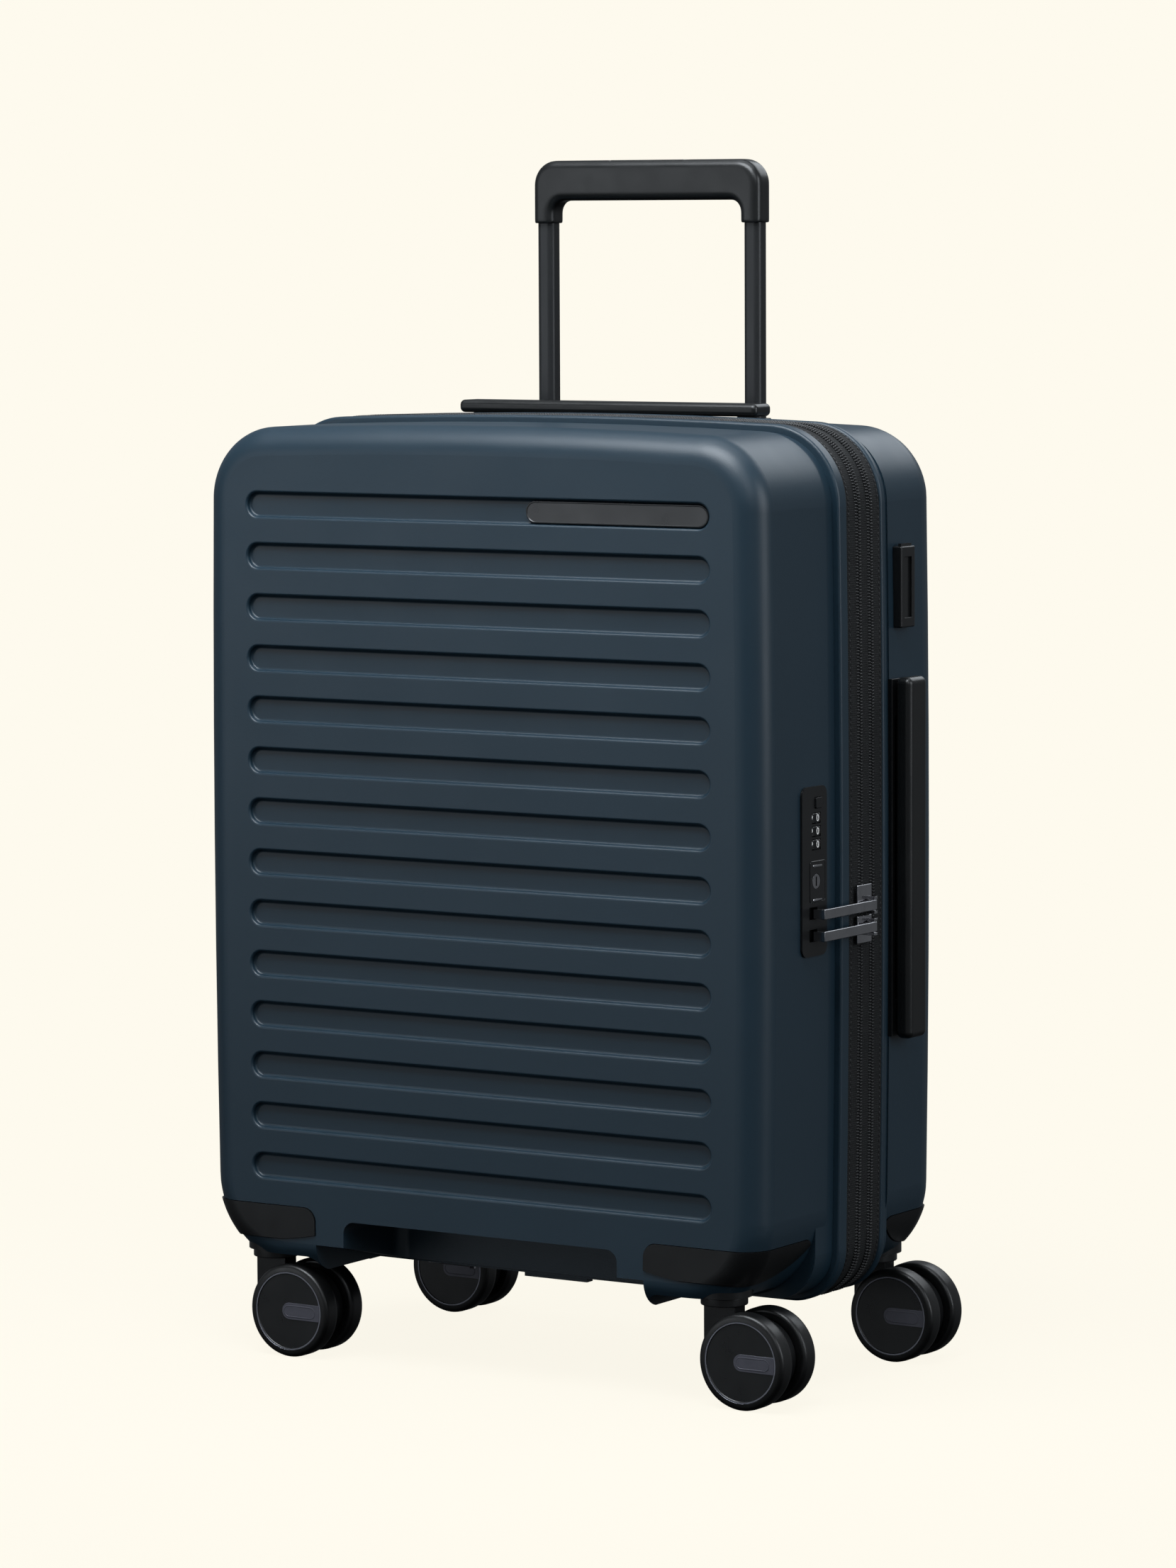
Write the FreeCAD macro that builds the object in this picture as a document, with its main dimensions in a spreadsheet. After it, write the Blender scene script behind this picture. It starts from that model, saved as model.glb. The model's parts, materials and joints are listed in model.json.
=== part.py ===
"""Cabin suitcase: two ribbed hard shells joined by a double zip, on four twin-wheel casters.

Frame: millimetres, +Z up, floor at z = 0, grooved front face towards -Y, lock and side handle
on +X, trolley handle along the back (+Y).  The origin is under the middle of the case.
"""
import FreeCAD, Part
import os
import re

import Sketcher

Vector = FreeCAD.Vector
doc = FreeCAD.newDocument("hard_shell_suitcase")

# ---------------------------------------------------------------- driving dimensions
DIMENSIONS = [
    # case outline
    ("half_width", 184.5, "middle of the case to its side wall"),
    ("half_height", 239.5, "middle of the case to its top or bottom wall"),
    ("mid_height", 289.5, "floor to the middle of the case"),
    ("half_depth", 100, "middle of the case to its front or back face"),
    ("side_bulge", 2.5, "how far the side walls belly out"),
    ("top_bulge", 4.5, "how far the top bellies out"),
    ("foot_bulge", 0.5, "how far the bottom bellies out"),
    ("top_corner", 41, "upper corners of the outline seen from the front"),
    ("foot_corner", 52, "lower corners of the outline seen from the front"),
    ("rim_corner", 27, "lower corners of the rims and the zip band"),
    ("front_round", 16, "rounding between the front face and the walls"),
    ("back_round", 24, "rounding between the back face and the walls"),
    ("wall", 2.6, "shell thickness"),
    ("lining_gap", 0.6, "lining inside the shell wall"),
    ("lining_wall", 0.9, "lining thickness"),
    # rims of the two shells and the band between them
    ("front_edge", -11.5, "rear edge of the front shell"),
    ("back_edge", 25, "front edge of the back shell"),
    ("front_bead", 9, "width of the front shell's rim bead"),
    ("back_bead", 5, "width of the back shell's rim bead"),
    ("bead_rise", 3.5, "how far a rim bead stands out of the wall"),
    ("bead_round", 1.6, "rounding of a rim bead"),
    ("rim_groove", 8, "width of the groove beside a rim bead"),
    ("rim_groove_depth", 0.8, "depth of the groove beside a rim bead"),
    ("main_chain", 0.5, "y of the main zip's centre line"),
    ("expansion_chain", 13.2, "y of the expansion zip's centre line"),
    ("tape_rise", 3, "zip tape outside the wall line"),
    ("tape_wall", 1.2, "zip tape thickness"),
    ("coil_rise", 0.9, "zip coil above its tape"),
    ("coil_half", 3.1, "half width of a closed zip coil"),
    ("zip_split", 0.15, "half the gap between the two sides of a zip"),
    # horizontal grooves of the shells
    ("groove_count", 14, "grooves on each large face"),
    ("groove_pitch", 28.8, "spacing of the grooves"),
    ("groove_height", 13.5, "height of a groove"),
    ("groove_half_length", 151.8, "middle of the case to the end of a groove"),
    ("groove_depth", 3.2, "depth of a groove"),
    ("groove_top", 483, "height of the highest groove's centre line"),
    # wheel pods and corner covers
    ("pod_x", 109, "middle of the case to a wheel pod"),
    ("pod_y", 39, "middle of the case to a wheel pod"),
    ("pod_top", 87, "ceiling of a wheel pod"),
    ("pod_round", 8, "rounding of a pod's edges"),
    ("cover_floor", 66, "underside of a corner cover"),
    ("cover_gap", 0.3, "joint line round a corner cover"),
    ("cover_rise", 0.8, "how far a corner cover stands proud"),
    ("cover_wall", 2.8, "thickness of a corner cover"),
    # casters
    ("stem_x", 149.5, "middle of the case to a swivel axis"),
    ("stem_y", 81.5, "middle of the case to a swivel axis"),
    ("trail", 21, "swivel axis to wheel axle"),
    ("wheel_radius", 26.5, "outside of the tyre"),
    ("wheel_width", 12.3, "one wheel of a pair"),
    ("wheel_inner", 6.2, "swivel plane to the inner side of a wheel"),
    ("wheel_round", 2.2, "rounding of the tread's edges"),
    ("fork_half", 5.5, "half thickness of a fork between its wheels"),
    ("fork_radius", 21, "fender of a fork, round the axle"),
    ("pillar_half", 10, "half width of a fork's pillar"),
    ("axle_radius", 3, "wheel axle"),
    ("stem_radius", 4, "swivel stem"),
    ("stem_length", 20, "swivel stem above its fork"),
    ("socket_radius", 15.5, "swivel socket under a corner cover"),
    ("socket_floor", 59, "underside of a swivel socket"),
    ("running_gap", 0.06, "radial clearance of turning pairs"),
    ("slide_gap", 0.12, "clearance of sliding pairs"),
    # trolley
    ("trolley_y", 86, "plane of the trolley tubes"),
    ("tube_x", 69.5, "middle of the case to a trolley tube"),
    ("inner_tube_x", 11, "inner tube width"),
    ("inner_tube_y", 10.5, "inner tube depth"),
    ("tube_wall", 1.1, "trolley tube wall"),
    ("tube_foot", 72, "lower end of the outer tubes"),
    ("tube_head", 508, "upper end of the outer tubes"),
    ("tray_floor", 512, "floor of the trolley bezel"),
    ("tray_top", 531, "top of the trolley bezel"),
    ("grip_half", 76, "middle of the case to the outside of the grip"),
    ("grip_depth", 16, "grip depth"),
    ("grip_top", 675, "top of the grip as drawn"),
    ("grip_bar", 23, "height of the grip's bar"),
    ("grip_foot", 639, "lower end of the grip's legs as drawn"),
    ("leg_width", 13, "grip leg width"),
    ("drawn_out", 125, "how far the trolley is drawn out"),
    # carry handles
    ("handle_half", 99.5, "half length of the top handle"),
    ("handle_y", 45, "plane of both carry handles"),
    ("handle_width", 18, "top handle width"),
    ("handle_low", 531.3, "underside of the top handle"),
    ("handle_high", 538.5, "top of the top handle"),
    ("side_handle_y", 49, "plane of the side handle"),
    ("side_handle_width", 20, "side handle width"),
    ("side_handle_z", 288.5, "middle of the side handle"),
    ("side_handle_half", 100.5, "half length of the side handle"),
    ("side_handle_in", 187, "inner face of the side handle"),
    ("side_handle_out", 197, "outer face of the side handle"),
    ("recess_depth", 17, "depth of the finger recesses under the handles"),
    ("post_inset", 11, "handle end to the middle of its post"),
    ("post_size", 8, "side of a handle post"),
    # lock
    ("lock_y", -46, "middle of the lock plate"),
    ("lock_low", 243, "lower end of the lock plate"),
    ("lock_length", 92.5, "lock plate length"),
    ("lock_width", 26.4, "lock plate width"),
    ("lock_face", 185.8, "outer face of the lock plate"),
    ("dial_y", -44.2, "middle of the number dials"),
    ("dial_low", 303.8, "centre of the lowest dial"),
    ("dial_pitch", 7.2, "spacing of the dials"),
    ("dial_radius", 8.2, "number dial radius"),
    ("dial_depth", 178.5, "x of the dials' spindle"),
    ("key_z", 283.7, "height of the key cylinder"),
    # zip sliders
    ("slider_half", 7.6, "half width of a slider"),
    ("slider_length", 15.4, "slider length"),
    ("upper_slider_low", 262.6, "lower end of the upper slider"),
    ("lower_slider_low", 245.6, "lower end of the lower slider"),
    ("upper_pivot", 266.4, "height of the upper puller's middle"),
    ("lower_pivot", 254.3, "height of the lower puller's middle"),
    ("crown_x", 193, "x of the pullers' pivots"),
    ("crown_y", 5.5, "y of the pullers' pivots"),
    ("crown_radius", 1.3, "puller pivot radius"),
    # trim
    ("badge_length", 117, "name plate length"),
    ("badge_height", 12.4, "name plate height"),
    ("bezel_rise", 0.8, "how far the trolley bezel stands off the shell"),
    ("lining_round", 13, "rounding of the lining trays"),
    ("groove_round", 1.5, "rounding of the grooves' shoulders and floors"),
    ("pod_ceiling", 58.5, "underside of the shell over a caster"),
    ("keel_x", 158, "lowest line of the covers' edge, across"),
    ("keel_y", 86, "lowest line of the covers' edge, along"),
    ("keel_front_radius", 230, "curve of the covers' lower edge, seen from the front"),
    ("keel_side_radius", 70, "curve of the covers' lower edge, seen from the side"),
    ("slope_start", 36, "plane where the front shell's underside starts to rise"),
    ("slope_run", 80, "length of the rising underside"),
    ("slope_climb", 18.8, "how far the underside rises over that length"),
    ("badge_foot", 1.1, "height of the foot under the name plate"),
    ("grip_round", 4.5, "rounding along the trolley grip"),
    ("grip_corner", 14, "outer corner of the trolley grip"),
    ("grip_inner_corner", 7, "inner corner of the trolley grip"),
    ("foot_y", 72, "middle of the side feet"),
    ("tag_y", 51.2, "middle of the tag holder"),
    ("tag_width", 15.4, "tag holder width"),
    ("tag_low", 416, "lower end of the tag holder"),
    ("tag_height", 45, "tag holder height"),
    ("tag_in", 182.9, "back of the tag holder"),
    ("tag_out", 188.8, "face of the tag holder"),
    ("screw_radius", 2, "bracket screw shank"),
]
FOOT_HEIGHTS = ("130", "449")
SCREW_X = ("-72", "-28", "28", "72")

sheet = doc.addObject("Spreadsheet::Sheet", "Sizes")
for row, (alias, value, note) in enumerate(DIMENSIONS, start=1):
    sheet.set("A%d" % row, note)
    sheet.set("B%d" % row, str(value))
    sheet.setAlias("B%d" % row, alias)
doc.recompute()
ALIASES = {alias for alias, value, note in DIMENSIONS}
NODES = []


def size(name):
    """The number held by one cell of the sheet."""
    return float(sheet.get(name))


def formula(text):
    """Turn 'wall * 2' into 'Sizes.wall * 2'."""
    return re.sub(r"[a-z][a-z_]*", lambda word: "Sizes." + word.group()
                  if word.group() in ALIASES else word.group(), str(text))


def number(text):
    """The value of a formula at the sheet's present sizes, for a sketch's first guess."""
    return doc.Sizes.evalExpression(formula(text))


def bind(thing, **pairs):
    """Bind properties to formulas; 'Base_x' stands for the placement's x."""
    for name, text in pairs.items():
        path = name.replace("Base_", "Placement.Base.")
        thing.setExpression(path, formula(text))
    return thing


def node(thing, label):
    """Register a finished sub-part under the name of its file."""
    thing.Label = label
    NODES.append(thing)
    return thing


# ---------------------------------------------------------------- building blocks
def box(name, low, high):
    """Part box between two corners, each a triple of formulas."""
    block = doc.addObject("Part::Box", name)
    bind(block, Length="(%s) - (%s)" % (high[0], low[0]), Width="(%s) - (%s)" % (high[1], low[1]),
         Height="(%s) - (%s)" % (high[2], low[2]))
    return bind(block, Base_x=low[0], Base_y=low[1], Base_z=low[2])


def rod(name, radius, start, length, along):
    """Part cylinder from a start point along +X, +Y or +Z."""
    bar = doc.addObject("Part::Cylinder", name)
    direction = {"x": Vector(1, 0, 0), "y": Vector(0, 1, 0), "z": Vector(0, 0, 1)}[along]
    bar.Placement = FreeCAD.Placement(Vector(), FreeCAD.Rotation(Vector(0, 0, 1), direction))
    bind(bar, Radius=radius, Height=length)
    return bind(bar, Base_x=start[0], Base_y=start[1], Base_z=start[2])


def fuse(name, shapes):
    joined = doc.addObject("Part::MultiFuse", name)
    joined.Shapes = shapes
    return joined


def cut(name, base, tools):
    """Base minus one tool or several."""
    cutter = tools[0] if len(tools) == 1 else fuse(name + "_tools", tools)
    result = doc.addObject("Part::Cut", name)
    result.Base = base
    result.Tool = cutter
    return result


def common(name, first, second):
    result = doc.addObject("Part::Common", name)
    result.Base = first
    result.Tool = second
    return result


def group(name, shapes):
    """Separate solids that share one node."""
    cluster = doc.addObject("Part::Compound", name)
    cluster.Links = shapes
    return cluster


def new_sketch(body, name, role, offset):
    """Sketch on one of a body's origin planes, moved along the plane's normal."""
    sketch = body.newObject("Sketcher::SketchObject", name)
    plane = [feature for feature in body.Origin.OriginFeatures if feature.Role == role][0]
    sketch.AttachmentSupport = [(plane, "")]
    sketch.MapMode = "FlatFace"
    sketch.setExpression("AttachmentOffset.Base.z", formula(offset))
    return sketch


def pad(body, sketch, length, backwards=False):
    feature = body.newObject("PartDesign::Pad", sketch.Name + "_pad")
    feature.Profile = sketch
    feature.Reversed = backwards
    feature.setExpression("Length", formula(length))
    body.Tip = feature
    doc.recompute()
    return feature


def round_edges(body, feature, wanted, radius):
    """PartDesign fillet of the edges that a test accepts."""
    names = ["Edge%d" % i for i, edge in enumerate(feature.Shape.Edges, start=1) if wanted(edge)]
    fillet = body.newObject("PartDesign::Fillet", feature.Name + "_round")
    fillet.Base = (feature, names)
    fillet.setExpression("Radius", formula(radius))
    body.Tip = fillet
    doc.recompute()
    return fillet


def flat_at(axis, place):
    """Test for edges that lie in the plane axis = place."""
    def wanted(edge):
        reach = edge.BoundBox
        low = getattr(reach, axis.upper() + "Min")
        high = getattr(reach, axis.upper() + "Max")
        return abs(low - place) < 1e-3 and abs(high - place) < 1e-3
    return wanted


def runs_along(axis):
    """Test for straight edges parallel to an axis."""
    def wanted(edge):
        reach = edge.BoundBox
        spans = {"x": reach.XLength, "y": reach.YLength, "z": reach.ZLength}
        return all((spans[other] > 1e-3) == (other == axis) for other in spans)
    return wanted


def fix_point(sketch, geometry, end, across, up):
    """Hold one point of a sketch at two formulas from the sketch's origin."""
    for kind, text in (("DistanceX", across), ("DistanceY", up)):
        index = sketch.addConstraint(Sketcher.Constraint(kind, -1, 1, geometry, end, number(text)))
        sketch.setExpression("Constraints[%d]" % index, formula(text))


def add_rectangle(sketch, low, high):
    """Rectangle between two corners given as pairs of formulas."""
    (left, bottom), (right, top) = low, high
    corners = [(left, bottom), (right, bottom), (right, top), (left, top)]
    points = [Vector(number(across), number(up), 0) for across, up in corners]
    first = sketch.GeometryCount
    for i in range(4):
        sketch.addGeometry(Part.LineSegment(points[i], points[(i + 1) % 4]), False)
    for i in range(4):
        sketch.addConstraint(Sketcher.Constraint("Coincident", first + i, 2, first + (i + 1) % 4, 1))
        kind = "Horizontal" if i % 2 == 0 else "Vertical"
        sketch.addConstraint(Sketcher.Constraint(kind, first + i))
    fix_point(sketch, first, 1, left, bottom)
    fix_point(sketch, first + 2, 1, right, top)


def add_slot(sketch, left, right, middle, height):
    """Horizontal slot with round ends: two lines and two half circles."""
    half = number("(%s) / 2" % height)
    x_low, x_high, z = number(left) + half, number(right) - half, number(middle)
    first = sketch.GeometryCount
    sketch.addGeometry(Part.LineSegment(Vector(x_low, z - half, 0), Vector(x_high, z - half, 0)), False)
    sketch.addGeometry(Part.Arc(Vector(x_high, z - half, 0), Vector(x_high + half, z, 0),
                                Vector(x_high, z + half, 0)), False)
    sketch.addGeometry(Part.LineSegment(Vector(x_high, z + half, 0), Vector(x_low, z + half, 0)), False)
    sketch.addGeometry(Part.Arc(Vector(x_low, z + half, 0), Vector(x_low - half, z, 0),
                                Vector(x_low, z - half, 0)), False)
    for i in range(4):
        sketch.addConstraint(Sketcher.Constraint("Coincident", first + i, 2, first + (i + 1) % 4, 1))
    fix_point(sketch, first, 1, "(%s) + (%s) / 2" % (left, height), "(%s) - (%s) / 2" % (middle, height))
    fix_point(sketch, first, 2, "(%s) - (%s) / 2" % (right, height), "(%s) - (%s) / 2" % (middle, height))
    fix_point(sketch, first + 2, 1, "(%s) - (%s) / 2" % (right, height),
              "(%s) + (%s) / 2" % (middle, height))
    fix_point(sketch, first + 2, 2, "(%s) + (%s) / 2" % (left, height),
              "(%s) + (%s) / 2" % (middle, height))
    for arc, text in ((first + 1, "(%s) - (%s) / 2" % (right, height)),
                      (first + 3, "(%s) + (%s) / 2" % (left, height))):
        index = sketch.addConstraint(Sketcher.Constraint("DistanceX", -1, 1, arc, 3, number(text)))
        sketch.setExpression("Constraints[%d]" % index, formula(text))


def add_polygon(sketch, outline):
    """Closed outline of straight lines through pairs of formulas."""
    count = len(outline)
    points = [Vector(number(across), number(up), 0) for across, up in outline]
    for i in range(count):
        sketch.addGeometry(Part.LineSegment(points[i], points[(i + 1) % count]), False)
    for i, (across, up) in enumerate(outline):
        sketch.addConstraint(Sketcher.Constraint("Coincident", i, 2, (i + 1) % count, 1))
        fix_point(sketch, i, 1, across, up)


def add_case_outline(sketch, rise):
    """The case seen from the front: four bellied sides that meet at sharp corners."""
    across, up = "(half_width + (%s))" % rise, "(half_height + (%s))" % rise
    wide = "(%s - side_bulge)" % across
    top, foot = "(mid_height + %s - top_bulge)" % up, "(mid_height - %s + foot_bulge)" % up
    places = [("-" + wide, foot), (wide, foot), (wide, top), ("-" + wide, top)]
    corners = [Vector(number(x), number(z), 0) for x, z in places]
    level = (number(top) + number(foot)) / 2
    middles = [Vector(0, number("mid_height - " + up), 0), Vector(number(across), level, 0),
               Vector(0, number("mid_height + " + up), 0), Vector(-number(across), level, 0)]
    for i in range(4):
        sketch.addGeometry(Part.Arc(corners[i], middles[i], corners[(i + 1) % 4]), False)
    for i in range(4):
        sketch.addConstraint(Sketcher.Constraint("Coincident", i, 2, (i + 1) % 4, 1))
    for i, (x, z) in enumerate(places):
        fix_point(sketch, i, 1, x, z)
    tall = "((%s - %s) / 2)" % (top, foot)
    sides = [(wide, "foot_bulge"), (tall, "side_bulge"), (wide, "top_bulge"), (tall, "side_bulge")]
    for i, (reach, belly) in enumerate(sides):
        text = "(%s ^ 2 + %s ^ 2) / (2 * %s)" % (reach, belly, belly)
        index = sketch.addConstraint(Sketcher.Constraint("Radius", i, number(text)))
        sketch.setExpression("Constraints[%d]" % index, formula(text))


def upright_edges(upper):
    """Test for the outline's two upper or two lower corners."""
    def wanted(edge):
        return runs_along("y")(edge) and (edge.BoundBox.ZMin > size("mid_height")) == upper
    return wanted


def case_prism(name, rise, start, end, rounded=None, foot_corner="foot_corner"):
    """Slab of the case between two y planes; rounded = (y of the face, radius) softens its edge."""
    body = doc.addObject("PartDesign::Body", name)
    sketch = new_sketch(body, name + "_outline", "XZ_Plane", "-(%s)" % start)
    add_case_outline(sketch, rise)
    feature = pad(body, sketch, "(%s) - (%s)" % (end, start), backwards=True)
    feature = round_edges(body, feature, upright_edges(True), "top_corner + (%s)" % rise)
    feature = round_edges(body, feature, upright_edges(False), "%s + (%s)" % (foot_corner, rise))
    if rounded:
        face, radius = rounded
        round_edges(body, feature, flat_at("y", number(face)), radius)
    return body


def case_ring(name, outer_rise, inner_rise, start, end):
    """Band of the case outline: one slab minus a smaller one."""
    outside = case_prism(name + "_outside", outer_rise, start, end, None, "rim_corner")
    inside = case_prism(name + "_inside", inner_rise, "(%s) - 1" % start, "(%s) + 1" % end, None,
                        "rim_corner")
    return cut(name, outside, [inside])


def soft_block(name, low, high, radius, wanted=None):
    """Block with rounded edges between two corners."""
    body = doc.addObject("PartDesign::Body", name)
    sketch = new_sketch(body, name + "_plan", "XY_Plane", low[2])
    add_rectangle(sketch, low[:2], high[:2])
    feature = pad(body, sketch, "(%s) - (%s)" % (high[2], low[2]))
    round_edges(body, feature, wanted or (lambda edge: True), radius)
    return body


def groove_pattern(body, name, start, depth, grow, into_positive_y):
    """Pocket of one horizontal slot repeated down the face.

    start is the y of the plane the slot is cut from and grow makes the slot larger all round."""
    sketch = new_sketch(body, name + "_slot", "XZ_Plane", "-(%s)" % start)
    add_slot(sketch, "-groove_half_length - (%s)" % grow, "groove_half_length + (%s)" % grow,
             "groove_top", "groove_height + 2 * (%s)" % grow)
    before = body.Shape.Volume
    pocket = body.newObject("PartDesign::Pocket", name + "_pocket")
    pocket.Profile = sketch
    pocket.Reversed = not into_positive_y
    pocket.setExpression("Length", formula(depth))
    body.Tip = pocket
    doc.recompute()
    assert body.Shape.Volume < before - 1, name + " cuts nothing"
    pattern = body.newObject("PartDesign::LinearPattern", name + "_rows")
    pattern.Originals = [pocket]
    pattern.Direction = (sketch, ["V_Axis"])
    pattern.Reversed = True
    pattern.setExpression("Occurrences", formula("groove_count"))
    pattern.setExpression("Length", formula("(groove_count - 1) * groove_pitch"))
    body.Tip = pattern
    doc.recompute()
    return pattern


def in_grooves(plane):
    """Test for edges of the grooves that lie in the plane y = plane."""
    in_plane = flat_at("y", number(plane))
    lowest = number("groove_top - (groove_count - 1) * groove_pitch - groove_height")
    highest = number("groove_top + groove_height")

    def wanted(edge):
        return in_plane(edge) and edge.BoundBox.ZMin > lowest and edge.BoundBox.ZMax < highest
    return wanted


def swap(side, low, high):
    """Low and high corners of a span that is mirrored when side is -1."""
    if side > 0:
        return low, high
    return "-(%s)" % high, "-(%s)" % low


def corner_block(name, side_x, side_y, grow, floor, radius, top=None):
    """Space of one wheel pod, from its inner walls out past the shell."""
    top = top or "pod_top + (%s)" % grow
    x_low, x_high = swap(side_x, "pod_x - (%s)" % grow, "half_width + 20")
    y_low, y_high = swap(side_y, "pod_y - (%s)" % grow, "half_depth + 12")
    return soft_block(name, (x_low, y_low, floor), (x_high, y_high, top), radius)


def cover_space(name, side_x, side_y, grow, top=None):
    """Space of one corner cover: a corner block whose lower edge curves up like a boat's keel."""
    block = corner_block(name + "_block", side_x, side_y, grow, "cover_floor - 3", "pod_round", top)
    across = rod(name + "_across", "keel_front_radius + (%s)" % grow,
                 ("%d * keel_x" % side_x, "-half_depth - 20", "cover_floor + keel_front_radius"),
                 "2 * half_depth + 40", "y")
    along = rod(name + "_along", "keel_side_radius + (%s)" % grow,
                ("-half_width - 20", "%d * keel_y" % side_y, "cover_floor + keel_side_radius"),
                "2 * half_width + 40", "x")
    return common(name, common(name + "_hull", block, across), along)


# ---------------------------------------------------------------- shells
def shell_solid(prefix, side_y, edge, bead, rounding):
    """Outer form of one shell: slab with its grooves, rim bead, and skirt behind the bead."""
    face = "%d * half_depth" % side_y
    start, end = swap(side_y, edge if side_y > 0 else "-(%s)" % edge, "half_depth")
    slab = case_prism(prefix + "_slab", "0", start, end, (face, rounding))
    groove_pattern(slab, prefix + "_grooves", face, "groove_depth", "0", side_y < 0)
    round_edges(slab, slab.Tip, in_grooves(face), "groove_round")
    round_edges(slab, slab.Tip, in_grooves("%s - %d * groove_depth" % (face, side_y)), "groove_round")
    inward = "%s + %d * %s" % (edge, side_y, bead)
    bead_start, bead_end = sorted((edge, inward), key=number)
    rim = case_prism(prefix + "_bead", "bead_rise", bead_start, bead_end, None, "rim_corner")
    round_edges(rim, rim.Tip, flat_at("y", number(bead_start)), "bead_round")
    round_edges(rim, rim.Tip, flat_at("y", number(bead_end)), "bead_round")
    far = "%s + %d * rim_groove" % (inward, side_y)
    groove_start, groove_end = sorted((inward, far), key=number)
    channel = case_ring(prefix + "_channel", "bead_rise + 2", "-rim_groove_depth",
                        groove_start, groove_end)
    skirt_start, skirt_end = sorted((inward, "%d * pod_y" % side_y), key=number)
    skirt = case_prism(prefix + "_skirt", "-rim_groove_depth", skirt_start, skirt_end, None,
                       "rim_corner")
    return fuse(prefix + "_outer", [cut(prefix + "_grooved", slab, [channel]), rim, skirt])


def shell_cavity(prefix, side_y, edge, rounding, pods):
    """Hollow of one shell, with room left for the grooves and the wheel pods."""
    inner_face = "%d * (half_depth - wall)" % side_y
    past_edge = "%s - %d * 2" % (edge, side_y)
    start, end = sorted((inner_face, past_edge), key=number)
    hollow = case_prism(prefix + "_hollow", "-wall - rim_groove_depth / 2", start, end,
                        (inner_face, "%s - wall" % rounding))
    groove_pattern(hollow, prefix + "_ribs", inner_face, "groove_depth", "wall", side_y < 0)
    return cut(prefix + "_cavity", hollow, pods)


def wheel_pods(prefix, side_y):
    """Inner walls and open spaces of a shell's two wheel pods."""
    walls = [corner_block("%s_pod_wall_%d" % (prefix, i), side_x, side_y, "wall", "30",
                          "pod_round + wall") for i, side_x in enumerate((-1, 1))]
    spaces = []
    for i, side_x in enumerate((-1, 1)):
        name = "%s_pod_%d" % (prefix, i)
        spaces.append(cover_space(name + "_upper", side_x, side_y, "0"))
        spaces.append(corner_block(name + "_lower", side_x, side_y, "0", "28", "pod_round",
                                   "pod_ceiling"))
        spaces.append(rod(name + "_collar", "socket_radius + cover_gap",
                          ("%d * stem_x" % side_x, "%d * stem_y" % side_y, "pod_ceiling - 3"),
                          "cover_floor - pod_ceiling + 6", "z"))
    return walls, spaces


def make_front_shell():
    """Front shell with the grip recess under its lower edge and the lock's window."""
    grip = soft_block("grip_recess", ("-90", "-half_depth - 20", "mid_height - half_height - 20"),
                      ("92", "-44", "81"), "7")
    shelf = box("grip_shelf", ("-pod_x", "-half_depth + 1.5", "mid_height - half_height + 1"),
                ("pod_x", "-38", "84.5"))
    slope = doc.addObject("PartDesign::Body", "foot_slope")
    side = new_sketch(slope, "foot_slope_side", "YZ_Plane", "-pod_x")
    add_polygon(side, [("-slope_start", "mid_height - half_height + 1"), ("-slope_start", "10"),
                       ("-slope_start - slope_run", "10"),
                       ("-slope_start - slope_run", "mid_height - half_height + 1 + slope_climb")])
    pad(slope, side, "2 * pod_x")
    lip = box("bottom_pad", ("-21", "front_edge - front_bead + 1", "mid_height - half_height - 5.6"),
              ("21", "front_edge - 2", "mid_height - half_height + 1"))
    window = box("lock_window", ("half_width - 12", "lock_y - lock_width / 2 + 1.5", "lock_low + 2"),
                 ("half_width + 8", "lock_y + lock_width / 2 - 1.5", "lock_low + lock_length - 2"))
    outer = fuse("front_with_pad", [shell_solid("front", -1, "front_edge", "front_bead", "front_round"),
                                    lip])
    walls, spaces = wheel_pods("front", -1)
    cavity = shell_cavity("front", -1, "front_edge", "front_round", walls + [shelf])
    return node(cut("front_shell_body", outer, [cavity] + spaces + [grip, slope, window]),
                "front_shell")


def make_back_shell():
    """Back shell with openings for the trolley bezel, the two handle trays and the tag holder."""
    bezel = box("bezel_opening", ("-grip_half - 8", "trolley_y - 10.5", "tube_head"),
                ("grip_half + 8", "half_depth + 6", "tray_top + 20"))
    top_tray = box("top_tray_opening", ("-handle_half + 1", "handle_y - handle_width / 2 - 1",
                                        "mid_height + half_height - 12"),
                   ("handle_half - 1", "handle_y + handle_width / 2 + 1",
                    "mid_height + half_height + 10"))
    side_tray = box("side_tray_opening",
                    ("half_width - 12", "side_handle_y - side_handle_width / 2 - 1",
                     "side_handle_z - side_handle_half + 1"),
                    ("half_width + 10", "side_handle_y + side_handle_width / 2 + 1",
                     "side_handle_z + side_handle_half - 1"))
    tag = box("tag_opening", ("tag_in", "tag_y - tag_width / 2", "tag_low"),
              ("half_width + 9", "tag_y + tag_width / 2", "tag_low + tag_height"))
    holes = [rod("shell_screw_hole_%d" % i, "screw_radius", (x, "trolley_y", "45"), "20", "z")
             for i, x in enumerate(SCREW_X)]
    outer = shell_solid("back", 1, "back_edge", "back_bead", "back_round")
    walls, spaces = wheel_pods("back", 1)
    cavity = shell_cavity("back", 1, "back_edge", "back_round", walls)
    feet = [foot_pin("foot_hole_%d" % i, z) for i, z in enumerate(FOOT_HEIGHTS)]
    cuts = [cavity] + spaces + [bezel, top_tray, side_tray, tag] + holes + feet
    return node(cut("back_shell_body", outer, cuts), "back_shell")


def foot_pin(name, z):
    """Shank of one side foot, through the left wall."""
    return rod(name, "2.5", ("-half_width - 4", "foot_y", z), "7", "x")


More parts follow.
